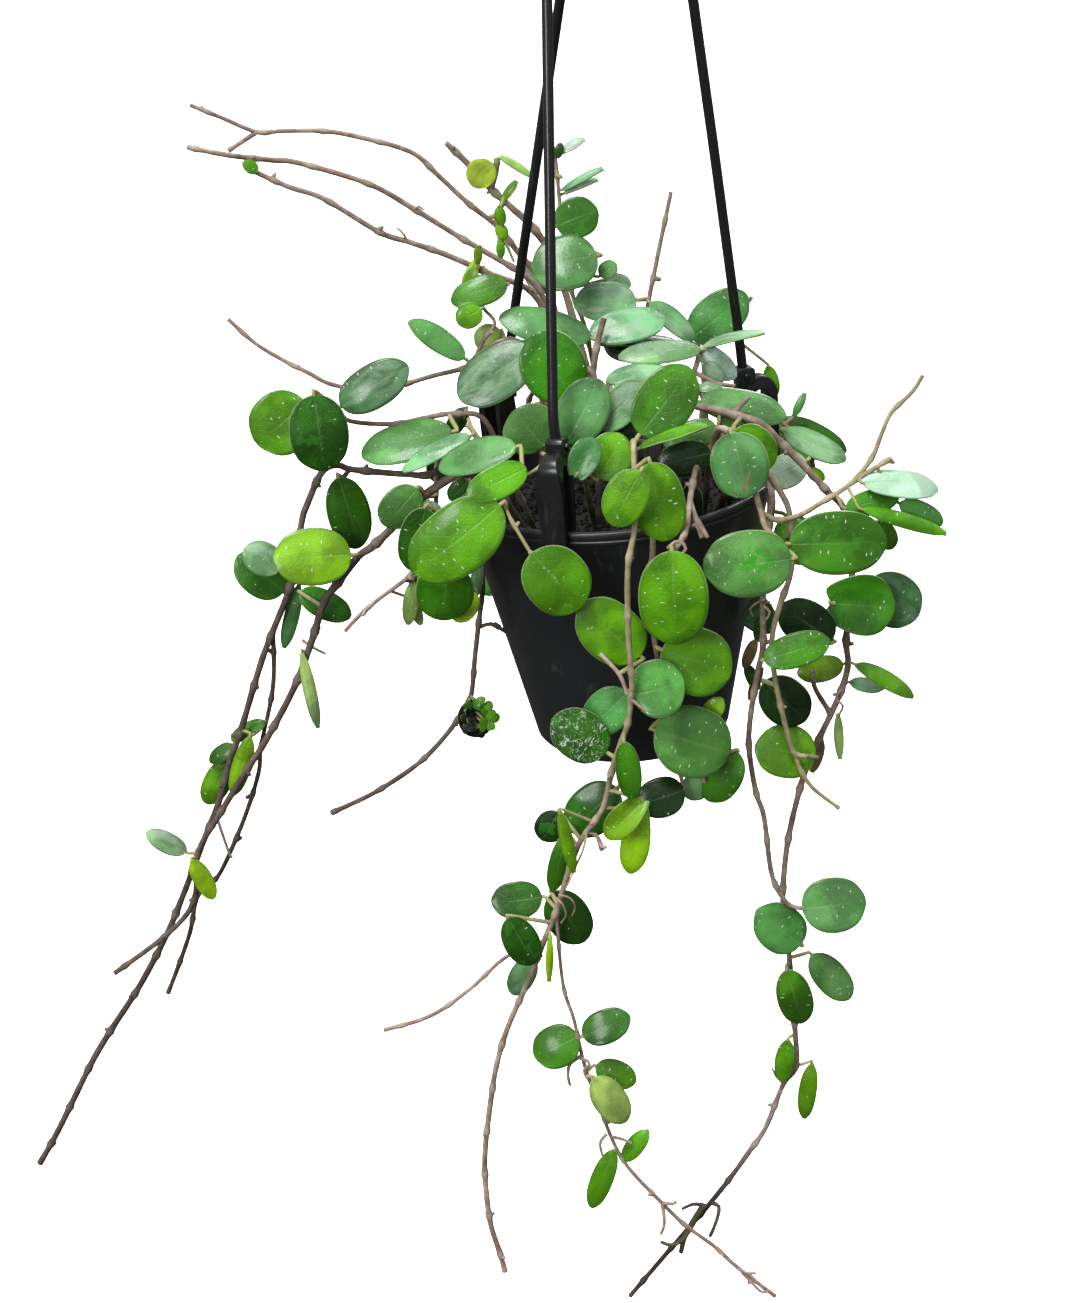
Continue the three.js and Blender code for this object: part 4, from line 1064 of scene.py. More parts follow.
            (1.0, 0.2, [(581, 1056, -87), (570, 1064, -89), (568, 1075, -90), (570, 1085, -89)]),
            (0.9, 0.1, [(580, 1058, -87), (590, 1063, -90), (584, 1070, -90), (586, 1077, -90)]),
            (0.9, 0.1, [(607, 1134, -87), (600, 1143, -89), (603, 1157, -90)]),
            (0.9, 0.1, [(612, 1137, -87), (622, 1139, -89), (631, 1143, -89)]),
            (1.0, 0.1, [(662, 1203, -87), (664, 1216, -89), (664, 1226, -90), (661, 1234, -89)]),
            (1.0, 0.1, [(663, 1203, -87), (672, 1204, -89), (676, 1202, -90)]),
            (0.9, 0.1, [(738, 1268, -87), (746, 1273, -89), (756, 1273, -89)]),
            (0.9, 0.1, [(742, 1272, -87), (752, 1283, -89), (762, 1292, -90), (770, 1290, -89)]),
            (0.6, 0.6, [(587, 832, -92), (583, 850, -94), (575, 868, -96), (566, 888, -97)]),
            (0.8, 0.1, [(632, 700, -97), (642, 708, -98), (648, 712, -98)]),
        ],
    },
    "vine_front_second": {
        "root": (22, -44), "radius": 1.7, "youths": (0.3, 0.3),
        "stems": [
            [(652, 500, -74), (653, 540, -80), (651, 590, -81), (655, 645, -80), (668, 690, -78),
             (688, 730, -76), (700, 760, -74), (704, 782, -74)],
            [(688, 730, -76), (680, 765, -76), (684, 790, -76)],
        ],
        "leaves": [
            (662, 650, 731, 676, -84, -82, 29, 0, "bright*"),
            (655, 730, 731, 752, -88, -86, 31, 0, "sage*"),
            (705, 722, 722, 698, -76, -76, 9, 0, "yellow"),
            (737, 752, 707, 801, -72, -72, 18, 0, "mid*"),
            (690, 774, 702, 799, -70, -70, 13, 0, "pale"),
            (684, 790, 637, 804, -78, -80, 18, 0, "deep"),
        ],
    },
    "vine_front_knot": {
        "root": (34, -42), "radius": 1.8, "youths": (0.1, 0.1),
        "stems": [
            [(697, 468, -58), (690, 500, -74), (686, 530, -86), (675, 550, -92)],
            [(690, 500, -74), (702, 538, -84)],
        ],
        "leaves": [
            (672, 551, 675, 645, -95, -95, 29, 0, "bright*"),
            (690, 484, 694, 515, -66, -66, 9, 0, "black"),
        ],
        "curls": [
            (0.9, 0.1, [(668, 548, -92), (678, 541, -94), (686, 548, -95), (680, 556, -94)]),
            (1.3, 0.0, [(697, 520, -84), (703, 530, -86), (707, 537, -86)]),
        ],
    },
    "vine_crown_front": {
        "root": (-12, -34), "radius": 1.6, "youths": (0.4, 0.4),
        "stems": [
            [(580, 452, -48), (588, 425, -44), (594, 405, -40)],
            [(580, 452, -48), (560, 448, -42), (548, 440, -38)],
        ],
        "leaves": [
            (566, 443, 600, 379, -48, -40, 22, 0, "grey*"),
            (598, 428, 644, 383, -42, -36, 16, 0, "pale"),
            (612, 452, 620, 410, -38, -36, 17, 0, "deep"),
            (598, 478, 622, 434, -58, -54, 19, 0, "bright"),
            (577, 474, 594, 438, -66, -62, 13, 0, "grey^"),
            (545, 446, 514, 410, -38, -34, 24, 0, "sage"),
        ],
    },
    "vine_crown_mid": {
        "root": (20, -10), "radius": 1.8,
        "stems": [
            [(680, 400, -20), (694, 372, -14), (700, 352, -10)],
            [(680, 400, -20), (650, 390, -20)],
            [(694, 372, -14), (716, 383, -17), (735, 386, -18)],
        ],
        "leaves": [
            (700, 350, 618, 358, -16, -18, 13, 40, "pale*"),
            (672, 374, 606, 380, -26, -28, 13, 40, "pale"),
            (704, 347, 765, 333, -10, -12, 9, 65, "pale"),
            (699, 348, 736, 378, -10, -8, 11, 10, "silver*"),
            (706, 362, 722, 383, -12, -12, 7, 0, "pale"),
            (722, 386, 698, 389, -18, -18, 6, 30, "pale"),
        ],
    },
    "vine_crown_rear": {
        "root": (42, 30), "radius": 1.6,
        "stems": [
            [(704, 385, 30), (705, 350, 30), (725, 330, 32), (752, 297, 32)],
        ],
        "leaves": [
            (691, 338, 747, 294, 28, 30, 21, 0, "grey*"),
            (768, 366, 775, 397, 34, 34, 7, 0, "bright"),
        ],
    },
    "vine_right_far": {
        "root": (28, -20), "radius": 2, "youths": (-0.3, -0.3), "slimness": (0.84, 0.62),
        "stems": [
            [(684, 402, -30), (696, 406, -34), (730, 414, -38), (760, 423, -42), (783, 445, -44),
             (804, 466, -46), (827, 491, -46), (844, 510, -46), (852, 560, -46), (849, 610, -46),
             (846, 642, -46), (848, 665, -46), (841, 691, -46), (831, 714, -46), (819, 739, -46),
             (804, 775, -48), (791, 825, -50), (785, 863, -52), (783, 905, -53), (789, 955, -54),
             (795, 1031, -54), (796, 1066, -54), (783, 1085, -54), (766, 1127, -54),
             (749, 1152, -54), (731, 1177, -54), (707, 1207, -54), (685, 1232, -54),
             (642, 1282, -54), (630, 1296, -54)],
            [(733, 415, -38), (738, 408, -38), (749, 397, -38)],
            [(831, 714, -46), (815, 688, -50), (812, 670, -54)],
        ],
        "leaves": [
            (700, 402, 787, 416, -27, -33, 18, 35, "grey*"),
            (735, 430, 771, 468, -51, -52, 20, 0, "bright"),
            (716, 426, 664, 446, -38, -38, 13, 10, "sage"),
            (832, 603, 895, 608, -52, -52, 27, 0, "mid^"),
            (868, 582, 917, 618, -42, -42, 24, 0, "grey*"),
            (856, 665, 914, 697, -50, -50, 9, 30, "bright"),
            (843, 664, 797, 674, -42, -42, 12, 0, "lime"),
            (850, 682, 884, 688, -38, -38, 7, 0, "pale"),
            (880, 522, 892, 549, -40, -40, 10, 0, "bright"),
            (838, 714, 840, 759, -48, -48, 4.5, 0, "young"),
            (801, 944, 757, 910, -60, -62, 23, 0, "grey*"),
            (812, 955, 850, 999, -54, -54, 16, 0, "grey*"),
            (787, 970, 802, 1024, -60, -60, 17, 0, "mid*"),
            (788, 1040, 782, 1081, -58, -58, 9.5, 0, "bright"),
            (812, 1064, 804, 1119, -52, -52, 9, 0, "lime"),
            (822, 740, 812, 772, -40, -40, 6, 0, "dry"),
        ],
        "curls": [
            (0.7, 0.1, [(842, 689, -47), (836, 698, -50), (843, 706, -51), (838, 716, -49)]),
            (1.8, 1.0, [(704, 1205, -57), (694, 1220, -58), (685, 1236, -59), (681, 1252, -58)]),
            (1.3, 1.0, [(696, 1219, -58), (684, 1238, -60), (672, 1245, -60), (661, 1242, -60)]),
            (1.1, 0.4, [(706, 1206, -56), (694, 1204, -58), (682, 1209, -58)]),
            (1.2, 0.4, [(712, 1203, -55), (719, 1207, -57), (716, 1222, -58), (710, 1236, -57)]),
            (1.0, 0.1, [(710, 1236, -57), (714, 1228, -58), (716, 1222, -58)]),
            (0.7, 0.2, [(783, 1083, -54), (776, 1076, -56), (772, 1068, -57)]),
        ],
    },
    "vine_right_mid": {
        "root": (38, -28), "radius": 1.8, "youths": (0.2, 0.6),
        "stems": [
            [(717, 430, -55), (752, 455, -61), (768, 474, -62), (781, 493, -61), (790, 516, -60),
             (792, 567, -64), (779, 608, -70), (772, 640, -72), (774, 671, -74), (780, 703, -76),
             (790, 742, -76), (795, 754, -76), (805, 756, -76)],
            [(795, 754, -76), (801, 771, -76), (814, 789, -76), (839, 808, -76)],
        ],
        "leaves": [
            (731, 433, 747, 498, -69, -74, 24, 0, "grey*!"),
            (764, 660, 830, 640, -80, -80, 15, 4, "mid*"),
            (764, 682, 806, 720, -66, -66, 21, 0, "deep"),
            (815, 757, 755, 747, -70, -70, 24, 0, "bright"),
            (832, 640, 780, 606, -60, -60, 20, 0, "deep"),
            (711, 453, 657, 466, -49, -48, 15, 0, "deep"),
        ],
    },
    "vine_right_up": {
        "root": (44, -34), "radius": 2, "youths": (0.2, 0.45),
        "stems": [
            [(741, 462, -61), (753, 486, -65), (761, 512, -70), (767, 530, -74), (786, 548, -74)],
            [(761, 512, -70), (778, 520, -68), (800, 515, -62), (822, 502, -56), (850, 484, -53),
             (871, 459, -50), (880, 438, -49), (891, 413, -48), (912, 392, -47), (923, 375, -46)],
            [(850, 484, -53), (878, 466, -53), (892, 458, -53)],
        ],
        "leaves": [
            (791, 559, 703, 567, -82, -84, 28, 0, "sage*~"),
            (790, 544, 888, 541, -76, -72, 27, 0, "mid*"),
            (864, 483, 939, 489, -56, -54, 14, 30, "silver"),
            (864, 510, 946, 534, -60, -58, 7, 20, "bright"),
            (900, 503, 943, 524, -52, -52, 10, 0, "sage"),
            (846, 508, 899, 496, -58, -54, 11, 0, "mid"),
        ],
    },
    "vine_right_hang": {
        "root": (50, -20), "radius": 1.9, "youths": (-0.3, -0.2),
        "stems": [
            [(758, 464, -43), (772, 496, -52), (767, 540, -58), (763, 597, -60), (763, 645, -62),
             (758, 671, -62), (751, 712, -62), (749, 748, -62), (756, 792, -62), (764, 817, -62),
             (772, 875, -61), (787, 903, -60), (802, 908, -60)],
        ],
        "leaves": [
            (802, 908, 866, 900, -58, -58, 26, 0, "grey*"),
        ],
        "scraps": [
            (764, 596, 746, 622, -34, -32, 8, 0, "slate"),
            (756, 640, 744, 668, -34, -32, 6, 20, "dry"),
            (768, 560, 744, 590, -30, -28, 10, 0, "slate"),
            (758, 690, 746, 664, -34, -30, 6, 0, "dark"),
            (770, 604, 756, 640, -34, -34, 7, 0, "dark"),
            (762, 668, 750, 700, -32, -30, 5, 20, "dry"),
            (768, 536, 752, 560, -30, -28, 8, 0, "deep"),
        ],
        "curls": [
            (1.5, 0.1, [(768, 486, -47), (770, 506, -40), (767, 540, -34), (763, 597, -33),
             (762, 645, -34), (756, 690, -34)]),
            (0.6, 0.0, [(764, 600, -62), (757, 603, -65), (750, 609, -66), (753, 616, -65)]),
            (0.6, 0.0, [(763, 606, -62), (770, 612, -64), (766, 620, -65)]),
        ],
    },
    "vine_right_crown": {
        "root": (58, -4), "radius": 1.7,
        "stems": [
            [(760, 420, -12), (774, 416, -16), (785, 425, -20), (808, 452, -26), (814, 470, -28)],
            [(785, 425, -20), (795, 415, -20)],
        ],
        "leaves": [
            (783, 432, 846, 460, -26, -28, 13, 30, "pale"),
            (785, 420, 846, 452, -14, -16, 11, 10, "dark"),
            (794, 416, 805, 393, -20, -20, 4, 0, "grey"),
            (806, 461, 764, 481, -38, -38, 15, 0, "silver"),
            (808, 470, 824, 480, -30, -30, 6, 0, "bright"),
        ],
    },
}
OLD_WOOD = (0.08, 0.12)
SLIMNESS = (0.84, 0.58)
print("vines:", len(VINES), "leaves:", sum(len(v.get("leaves", [])) for v in VINES.values()))

# %% [markdown]
# At the end of the thin hanging stem sits a shrivelled leaf: a ball of small curled pieces, black
# and green. A spiral lays them out evenly, as it does the seeds of a sunflower.

# %% The shrivelled ball and the vines on the hidden side
BALL = {"pieces": 16, "column": 479, "row": 717, "back": -30, "reach": (3, 12), "length": 9}
BALL_TONES = ("bright", "black", "mid", "bright", "black")
SPIRAL_TURN = 2.4


def ball_piece(i):
    """A small leaf that leans away from the middle of the ball."""
    turn = i * SPIRAL_TURN
    near, far = BALL["reach"]
    reach = near + far * math.sqrt(i / BALL["pieces"])
    column = BALL["column"] + reach * math.cos(turn)
    row = BALL["row"] + reach * math.sin(turn)
    tip_column = column + BALL["length"] * math.cos(turn + 1.2)
    tip_row = row + BALL["length"] * math.sin(turn + 1.2)
    tilt, tone = 25 * math.sin(i * 2.1), BALL_TONES[i % len(BALL_TONES)]
    return column, row, tip_column, tip_row, BALL["back"], BALL["back"], 4 + i % 3, tilt, tone


VINES["vine_thin_hanging"]["scraps"] = [ball_piece(i) for i in range(BALL["pieces"])]
REAR_VINES = [
    {"bearing": 28, "root": (48, 36), "drop": 100, "leaves": 4, "out": 88},
    {"bearing": 58, "root": (24, 44), "drop": 130, "leaves": 5, "out": 98},
    {"bearing": 86, "root": (10, 56), "drop": 160, "leaves": 6, "out": 88},
    {"bearing": 112, "root": (-10, 54), "drop": 120, "leaves": 5, "out": 98},
    {"bearing": 160, "root": (-54, 6), "drop": 60, "leaves": 3, "out": 88},
]
REAR_RADIUS = 1.7
REAR_TONES = ["mid*", "dark", "bright", "grey*", "mid", "slate"]
print("rear vines:", len(REAR_VINES))

# %% [markdown]
# ## One fleshy blade
# A hoya leaf is nearly an ellipse, thick, and bowed away from its own edges. It could be a flat
# card with thickness, but then its edge looks cut. Here it is a tube of flat oval rings along the
# midrib: the rings close to a small stalk at one end and to a blunt point at the other, so the
# edge is round everywhere. Each point also stores where it is on the leaf, which the finish reads.

# %% Blade mesh
RINGS, AROUND = 22, 22
HALF_THICKNESS, STALK_SWELL = 0.85, 0.45
GROOVE_DEPTH, GROOVE_WIDTH = 0.34, 0.07
LIP_RISE, LIP_PLACE, LIP_WIDTH = 0.35, 0.96, 0.06
FULL_FLECKS = 1.5
MARKS = {"*": "stars", "!": "scarred", "^": "folded", "~": "wiped"}
ring_places = [0.5 * (1 - math.cos(math.pi * i / RINGS)) for i in range(RINGS)]
ring_turns = [2 * math.pi * k / AROUND for k in range(AROUND)]


def leaf_from(base, tip, width, tilt, tone):
    """A leaf from its ends, width, tilt and marked tone."""
    counts = {label: tone.count(mark) for mark, label in MARKS.items()}
    tone = tone.rstrip("".join(MARKS))
    return {"base": base, "tip": tip, "width": width, "tilt": tilt, "tone": tone, **counts}


def soft_step(start, end, value):
    x = min(max((value - start) / (end - start), 0.0), 1.0)
    return x * x * (3 - 2 * x)


def blade_frame(leaf):
    """Length, direction, side and normal of a blade, its face turned to the viewer, then tilted."""
    along = leaf["tip"] - leaf["base"]
    length = along.length
    along.normalize()
    to_eye = (EYE - leaf["base"]).normalized()
    facing = (to_eye - along * to_eye.dot(along)).normalized()
    across = facing.cross(along)
    if across.dot(up) + 0.3 * across.dot(right) < 0:
        across.negate()
    turn = math.radians(leaf["tilt"])
    normal = facing * math.cos(turn) + across * math.sin(turn)
    return length, along, normal.cross(along), normal


def half_width(t, neck):
    """Half the blade's width at a share of its length, as a share of half its full width."""
    swell = max(1 - abs(2 * t**0.95 - 1) ** 2.2, 0.0) ** 0.5
    return max(neck, 1.02 * swell * (1 - 0.14 * soft_step(0.84, 1.0, t)))


def half_thickness(t):
    """Thin at the stalk's end of the blade, save for the stalk itself."""
    body = HALF_THICKNESS * (0.6 + 0.4 * soft_step(0, 0.12, t))
    return body + STALK_SWELL * (1 - soft_step(0, 0.1, t))


def add_blade(blades, leaf, chance):
    """Adds one blade's points, faces and stored values."""
    length, along, side, normal = blade_frame(leaf)
    width = leaf["width"]
    bow = BLADE_BOW * chance.uniform(0.75, 1.25)
    dish = chance.uniform(0.45, 0.8)
    curl = chance.uniform(-0.01, 0.035)
    phase = chance.uniform(0, 6.28)
    swing = chance.uniform(-0.09, 0.09)
    ripple = chance.uniform(0.1, 0.4) * min(width / 20, 1)
    keel = (chance.uniform(0.02, 0.2) + 0.5 * leaf["folded"]) * width / 2
    luck = chance.random()
    flecks = (chance.uniform(0.25, 0.6), chance.uniform(0.8, 1.0), FULL_FLECKS)[leaf["stars"]]
    start = len(blades["points"])

    def store(point, q, t, s):
        blades["points"].append(point * MM)
        blades["blade"] += [q, t, s]
        blades["span"] += [q * width / 20 + 7 * luck, t * length / 10 + 31 * luck, 5 * luck]

    for t in ring_places:
        half, thick = half_width(t, BLADE_NECK / width), half_thickness(t)
        shift = swing * math.sin(math.pi * t) * width * 0.25
        for turn in ring_turns:
            h, s = math.cos(turn), math.sin(turn)
            q = h * half
            body = math.copysign(abs(s) ** 0.7, s) * thick
            groove = GROOVE_DEPTH * math.exp(-((q / GROOVE_WIDTH) ** 2))
            groove *= soft_step(0.02, 0.2, t) * (1 - 0.75 * t)
            wave = ripple * math.sin(phase + 9 * t) * q * abs(q)
            fold = keel * (math.sqrt(q * q + 0.006) - 0.55)
            fold *= math.sin(math.pi * min(t * 1.15, 1)) ** 0.7
            lip = LIP_RISE * math.exp(-(((abs(h) - LIP_PLACE) / LIP_WIDTH) ** 2))
            lip *= min(half / 0.4, 1)
            rise = length * (bow * 4 * t * (1 - t) * (1 - dish * q * q) - curl * t**3)
            notch = 0.22 * leaf["folded"] * length * max(1 - 3 * t, 0) ** 2 * min(abs(q) / 0.5, 1)
            place = leaf["base"] + along * (length * t - notch) + side * (width / 2 * q + shift)
            store(place + normal * (rise + wave + fold + lip + body - groove), h, t, s)
    store(leaf["base"] + along * length - normal * (length * curl), 0.97, 1, 0.3)
    store(leaf["base"], 0, 0, 0)
    tip, foot = start + RINGS * AROUND, start + RINGS * AROUND + 1
    last = start + (RINGS - 1) * AROUND
    for ring in range(start, last, AROUND):
        for k in range(AROUND):
            a, b = ring + k, ring + (k + 1) % AROUND
            blades["faces"].append((a, b, b + AROUND, a + AROUND))
    for k in range(AROUND):
        after = (k + 1) % AROUND
        blades["faces"].append((last + k, last + after, tip))
        blades["faces"].append((start + after, start + k, foot))
    count = RINGS * AROUND + 2
    tone = [c * chance.uniform(0.88, 1.12) for c in TONES[leaf["tone"]]]
    blades["tone"] += [*tone, 1.0] * count
    bare = 1.0 if leaf["tone"] == "dry" else 0.5 * leaf["scarred"] + 0.25 * leaf["wiped"]
    blades["marks"] += [flecks, bare, luck] * count


def closed_mesh(name, points, faces, finish):
    """A smooth mesh whose faces all look outward."""
    mesh = bpy.data.meshes.new(name)
    mesh.from_pydata(points, [], faces)
    shape = bmesh.new()
    shape.from_mesh(mesh)
    bmesh.ops.recalc_face_normals(shape, faces=shape.faces)
    shape.to_mesh(mesh)
    shape.free()
    mesh.shade_smooth()
    mesh.materials.append(finish)
    return mesh


def blade_object(leaves, chance):
    blades = {"points": [], "faces": [], "blade": [], "span": [], "tone": [], "marks": []}
    for leaf in leaves:
        add_blade(blades, leaf, chance)
    mesh = closed_mesh("blades", blades["points"], blades["faces"], leaf_skin)
    for label in ("blade", "span", "marks"):
        values = mesh.attributes.new(label, "FLOAT_VECTOR", "POINT").data
        values.foreach_set("vector", blades[label])
    mesh.attributes.new("tone", "FLOAT_COLOR", "POINT").data.foreach_set("color", blades["tone"])
    return in_scene("blades", mesh)


print("one blade:", RINGS * AROUND, "faces")

# %% [markdown]
# ## A whole vine
# Stems, side shoots, stalks and curls go through the strand tree as chains; the blades are added
# beside them, and both are joined into one object that stands for the vine's solid. A stalk runs
# from the nearest point of a stem or twig to the foot of its blade, a little into each, so
# nothing shows a gap.

# %% Strands of a vine
SIDE_SHOOT_SHARE = 0.75
STALK_RADIUS = 1.15
STALK_YOUTHS = (0.45, 0.85)
SHORT_STALK = 3


def nearest_on(stems, place):
    best = None
    for path in stems:
        for a, b in zip(path, path[1:]):
            run = b - a
            share = min(max((place - a).dot(run) / run.length_squared, 0), 1)
            near = a + run * share
            if best is None or (near - place).length < (best - place).length:
                best = near
    return best


def even_steps(start, end, count, parts):
    return [start + (end - start) * i / parts for i in range(count)]


def stem_strand(path, radius, ends, slimness, shift):
    start, end = slimness
    thick = even_steps(radius * start, radius * end, len(path), len(path))
    return path, thick, even_steps(*ends, len(path), max(len(path) - 1, 1)), True, shift


def stalk_strand(leaf, shown):
    """The short green stalk from the nearest stem to a leaf."""
    base, tip = leaf["base"], leaf["tip"]
    near = nearest_on(shown, base)
    into, ahead = base.lerp(tip, 0.05), base.lerp(tip, -0.06)
    path = [near, near.lerp(ahead, 0.55), ahead, base, into]
    if (near - base).length < SHORT_STALK:
        path = [near, base, into]
    thick = STALK_RADIUS * min(1.0, 0.55 + leaf["width"] / 50)
    radii = even_steps(thick, thick * 0.75, len(path), len(path))
    at_stem, beyond = STALK_YOUTHS
    return path, radii, [at_stem] + [beyond] * (len(path) - 1), False, 0.0


def curl_strand(thin, youth, path):
    radii = even_steps(thin, thin * 0.6, len(path), len(path))
    return path, radii, [youth] * len(path), False, 0.0


def vine_strands(vine, stems, leaves, chance):
    x, y = vine["root"]
    foot = Vector((POT_AXIS[0] + x, POT_AXIS[1] + y, RIM_Z - MIX_DROP))
    rooted = [foot + Vector((0, 0, height)) for height in (-ROOT_DEPTH, ROOT_RISE)]
    youths, slimness = vine.get("youths", OLD_WOOD), vine.get("slimness", SLIMNESS)
    strands = [
        stem_strand(rooted + stems[0], vine["radius"], youths[:2], slimness, chance.random())
    ]
    ends = (youths[-1], youths[-1])
    side_radius = vine["radius"] * SIDE_SHOOT_SHARE
    for path in stems[1:]:
        strands.append(stem_strand(path, side_radius, ends, slimness, chance.random()))
    curls = [(*looks, [seen(*point) for point in path]) for *looks, path in vine.get("curls", [])]
    shown = [*stems, *(path for _, _, path in curls)]
    strands += [stalk_strand(leaf, shown) for leaf in leaves]
    return strands + [curl_strand(*curl) for curl in curls]


# %% Vine objects
def vine_object(name, vine, stems, leaves, seed):
    chance = random.Random(seed)
    chains = chain_object(vine_strands(vine, stems, leaves, chance))
    values = {"Finish": stem_bark, "Seed": seed, "Sides": 9}
    woody = grown(chains, strands_tree, values, name + "_dressed")
    if leaves:
        joined(woody, blade_object(leaves, chance))
    return stands_for(woody, name)


def front_leaf(base_column, base_row, tip_column, tip_row, base_back, tip_back, *looks):
    base, tip = seen(base_column, base_row, base_back), seen(tip_column, tip_row, tip_back)
    return leaf_from(base, tip, *looks)


vines = []
for number, (name, vine) in enumerate(VINES.items()):
    stems = [[seen(*point) for point in path] for path in vine["stems"]]
    leaves = [front_leaf(*row) for row in vine.get("leaves", []) + vine.get("scraps", [])]
    vines.append(vine_object(name, vine, stems, leaves, 100 + number))
print("front vines:", len(vines), "with", sum(len(v.data.polygons) for v in vines), "faces")


# %% Vines on the hidden side
def rear_leaf(number, vine, i):
    """Leaves stand by turns on either side of a rear stem."""
    bearing, out = vine["bearing"], vine["out"]
    place = (i + 0.2) * vine["drop"] / vine["leaves"]
    swing = 1 if i % 2 else -1
    base = round_pot(bearing + 5 * swing, out + 3, 12 - place)
    tip = round_pot(bearing + (18 + 3 * math.sin(i * 2.3)) * swing, out + 5, -8 - place)
    return leaf_from(base, tip, 22 - i, 0, REAR_TONES[(i + number) % len(REAR_TONES)])


def rear_vine(number, vine):
    """A stem over the rim and down, swaying a little."""
    bearing, out, drop = vine["bearing"], vine["out"], vine["drop"]
    steps = round(drop / 40)
    path = [round_pot(bearing, 68, 22), round_pot(bearing, out - 4, 12)]
    for i in range(steps):
        sway = bearing + 3 * math.sin(i * 1.7)
        path.append(round_pot(sway, out + 2 * math.cos(i * 2.1), -20 - i * drop / steps))
    leaves = [rear_leaf(number, vine, i) for i in range(vine["leaves"])]
    placed_vine = {"root": vine["root"], "radius": REAR_RADIUS}
    return vine_object(f"vine_rear_{number + 1}", placed_vine, [path], leaves, 200 + number)


rear = [rear_vine(number, vine) for number, vine in enumerate(REAR_VINES)]
print("rear vines:", len(rear))

# %% [markdown]
# ## The pot
# A nursery pot is a thin tapered cup with a stepped lip that two fine ridges run round. Turning
# its outline about the axis is the natural way to make it, as the mould is turned too. The
# outline is a list of radius and height; the drain holes are cut afterwards.


# %% Turned shapes
def turned(name, outline, sides, finish, crease=0.75):
    """A closed shape of revolution about the upright axis from (radius, height) pairs."""
    turns = [2 * math.pi * k / sides for k in range(sides)]
    points, rings = [], []
    for radius, height in outline:
        if radius == 0:
            rings.append([len(points)] * sides)
            points.append(Vector((0, 0, height)) * MM)
            continue
        rings.append(list(range(len(points), len(points) + sides)))
        points += [Vector((radius * math.cos(t), radius * math.sin(t), height)) * MM for t in turns]
    faces = []
    for low, high in zip(rings, rings[1:]):
        for k in range(sides):
            corners = [low[k], low[(k + 1) % sides], high[(k + 1) % sides], high[k]]
            faces.append(tuple(dict.fromkeys(corners)))
    mesh = closed_mesh(name, points, faces, finish)
    mesh.set_sharp_from_angle(angle=crease)
    return in_scene(name, mesh)


def wall_radius(height, inset=0.0):
    rise = (height + POT_HEIGHT) / (POT_HEIGHT - LIP_HEIGHT)
    return BASE_RADIUS + (WALL_TOP_RADIUS - BASE_RADIUS) * rise - inset


def at_rim(piece):
    """Moves a piece's mesh from the middle of space onto the pot's axis at the rim."""
    piece.data.transform(Matrix.Translation(Vector((*POT_AXIS, RIM_Z)) * MM))
    return piece


def from_shape(name, shape):
    """A mesh from a bmesh, which is used up."""
    mesh = bpy.data.meshes.new(name)
    shape.to_mesh(mesh)
    shape.free()
    return mesh


def with_modifier(piece, kind, **settings):
    """Applies one modifier and leaves a plain mesh."""
    modifier = piece.modifiers.new(kind.lower(), kind)
    for label, value in settings.items():
        setattr(modifier, label, value)
    mesh = plain_mesh(piece)
    piece.modifiers.clear()
    piece.data = mesh
    return piece


# %% The pot's outline and drain holes
pot_floor = -POT_HEIGHT + BASE_THICKNESS
foot_height = -POT_HEIGHT + 3
base_outline = [
    (0, -POT_HEIGHT + 1.2),
    (BASE_RADIUS - 8, -POT_HEIGHT + 1.2),
    (BASE_RADIUS - 7, -POT_HEIGHT + 0.2),
    (BASE_RADIUS - 6.4, -POT_HEIGHT),
    (wall_radius(foot_height, 2.4), -POT_HEIGHT),
    (wall_radius(foot_height, 1.1), -POT_HEIGHT + 0.4),
    (wall_radius(foot_height, 0.3), -POT_HEIGHT + 1.4),
    (wall_radius(foot_height), foot_height),
]
lip_outline = [
    (WALL_TOP_RADIUS - 0.2, -LIP_HEIGHT - 1.2),
    (WALL_TOP_RADIUS + 0.3, -LIP_HEIGHT - 0.3),
    (RIM_RADIUS - 1.2, -LIP_HEIGHT),
    (RIM_RADIUS - 0.5, -LIP_HEIGHT + 0.4),
    (RIM_RADIUS - 0.3, -LIP_HEIGHT + 1.6),
    (RIM_RADIUS - 0.9, -LIP_HEIGHT + 2.1),
    (RIM_RADIUS - 0.9, -LIP_HEIGHT + 2.7),
    (RIM_RADIUS - 0.2, -LIP_HEIGHT + 3.2),
    (RIM_RADIUS, -1.6),
    (RIM_RADIUS - 0.1, -0.7),
    (RIM_RADIUS - 0.6, -0.15),
    (RIM_RADIUS - 1.3, 0),
    (LIP_INNER_RADIUS + 0.7, -0.1),
    (LIP_INNER_RADIUS, -0.8),
]
inside_outline = [
    (wall_radius(-LIP_HEIGHT, WALL), -LIP_HEIGHT - 1),
    (wall_radius(-60, WALL), -60),
    (wall_radius(pot_floor, WALL), pot_floor),
    (0, pot_floor),
]
pot_outline = [*base_outline, (wall_radius(-60), -60), *lip_outline, *inside_outline]


def add_peg(shape, place, radius, depth, segments):
    """Adds a closed round peg, in millimetres."""
    ends = {"radius1": radius * MM, "radius2": radius * MM, "depth": depth * MM}
    bmesh.ops.create_cone(shape, cap_ends=True, segments=segments, matrix=place, **ends)


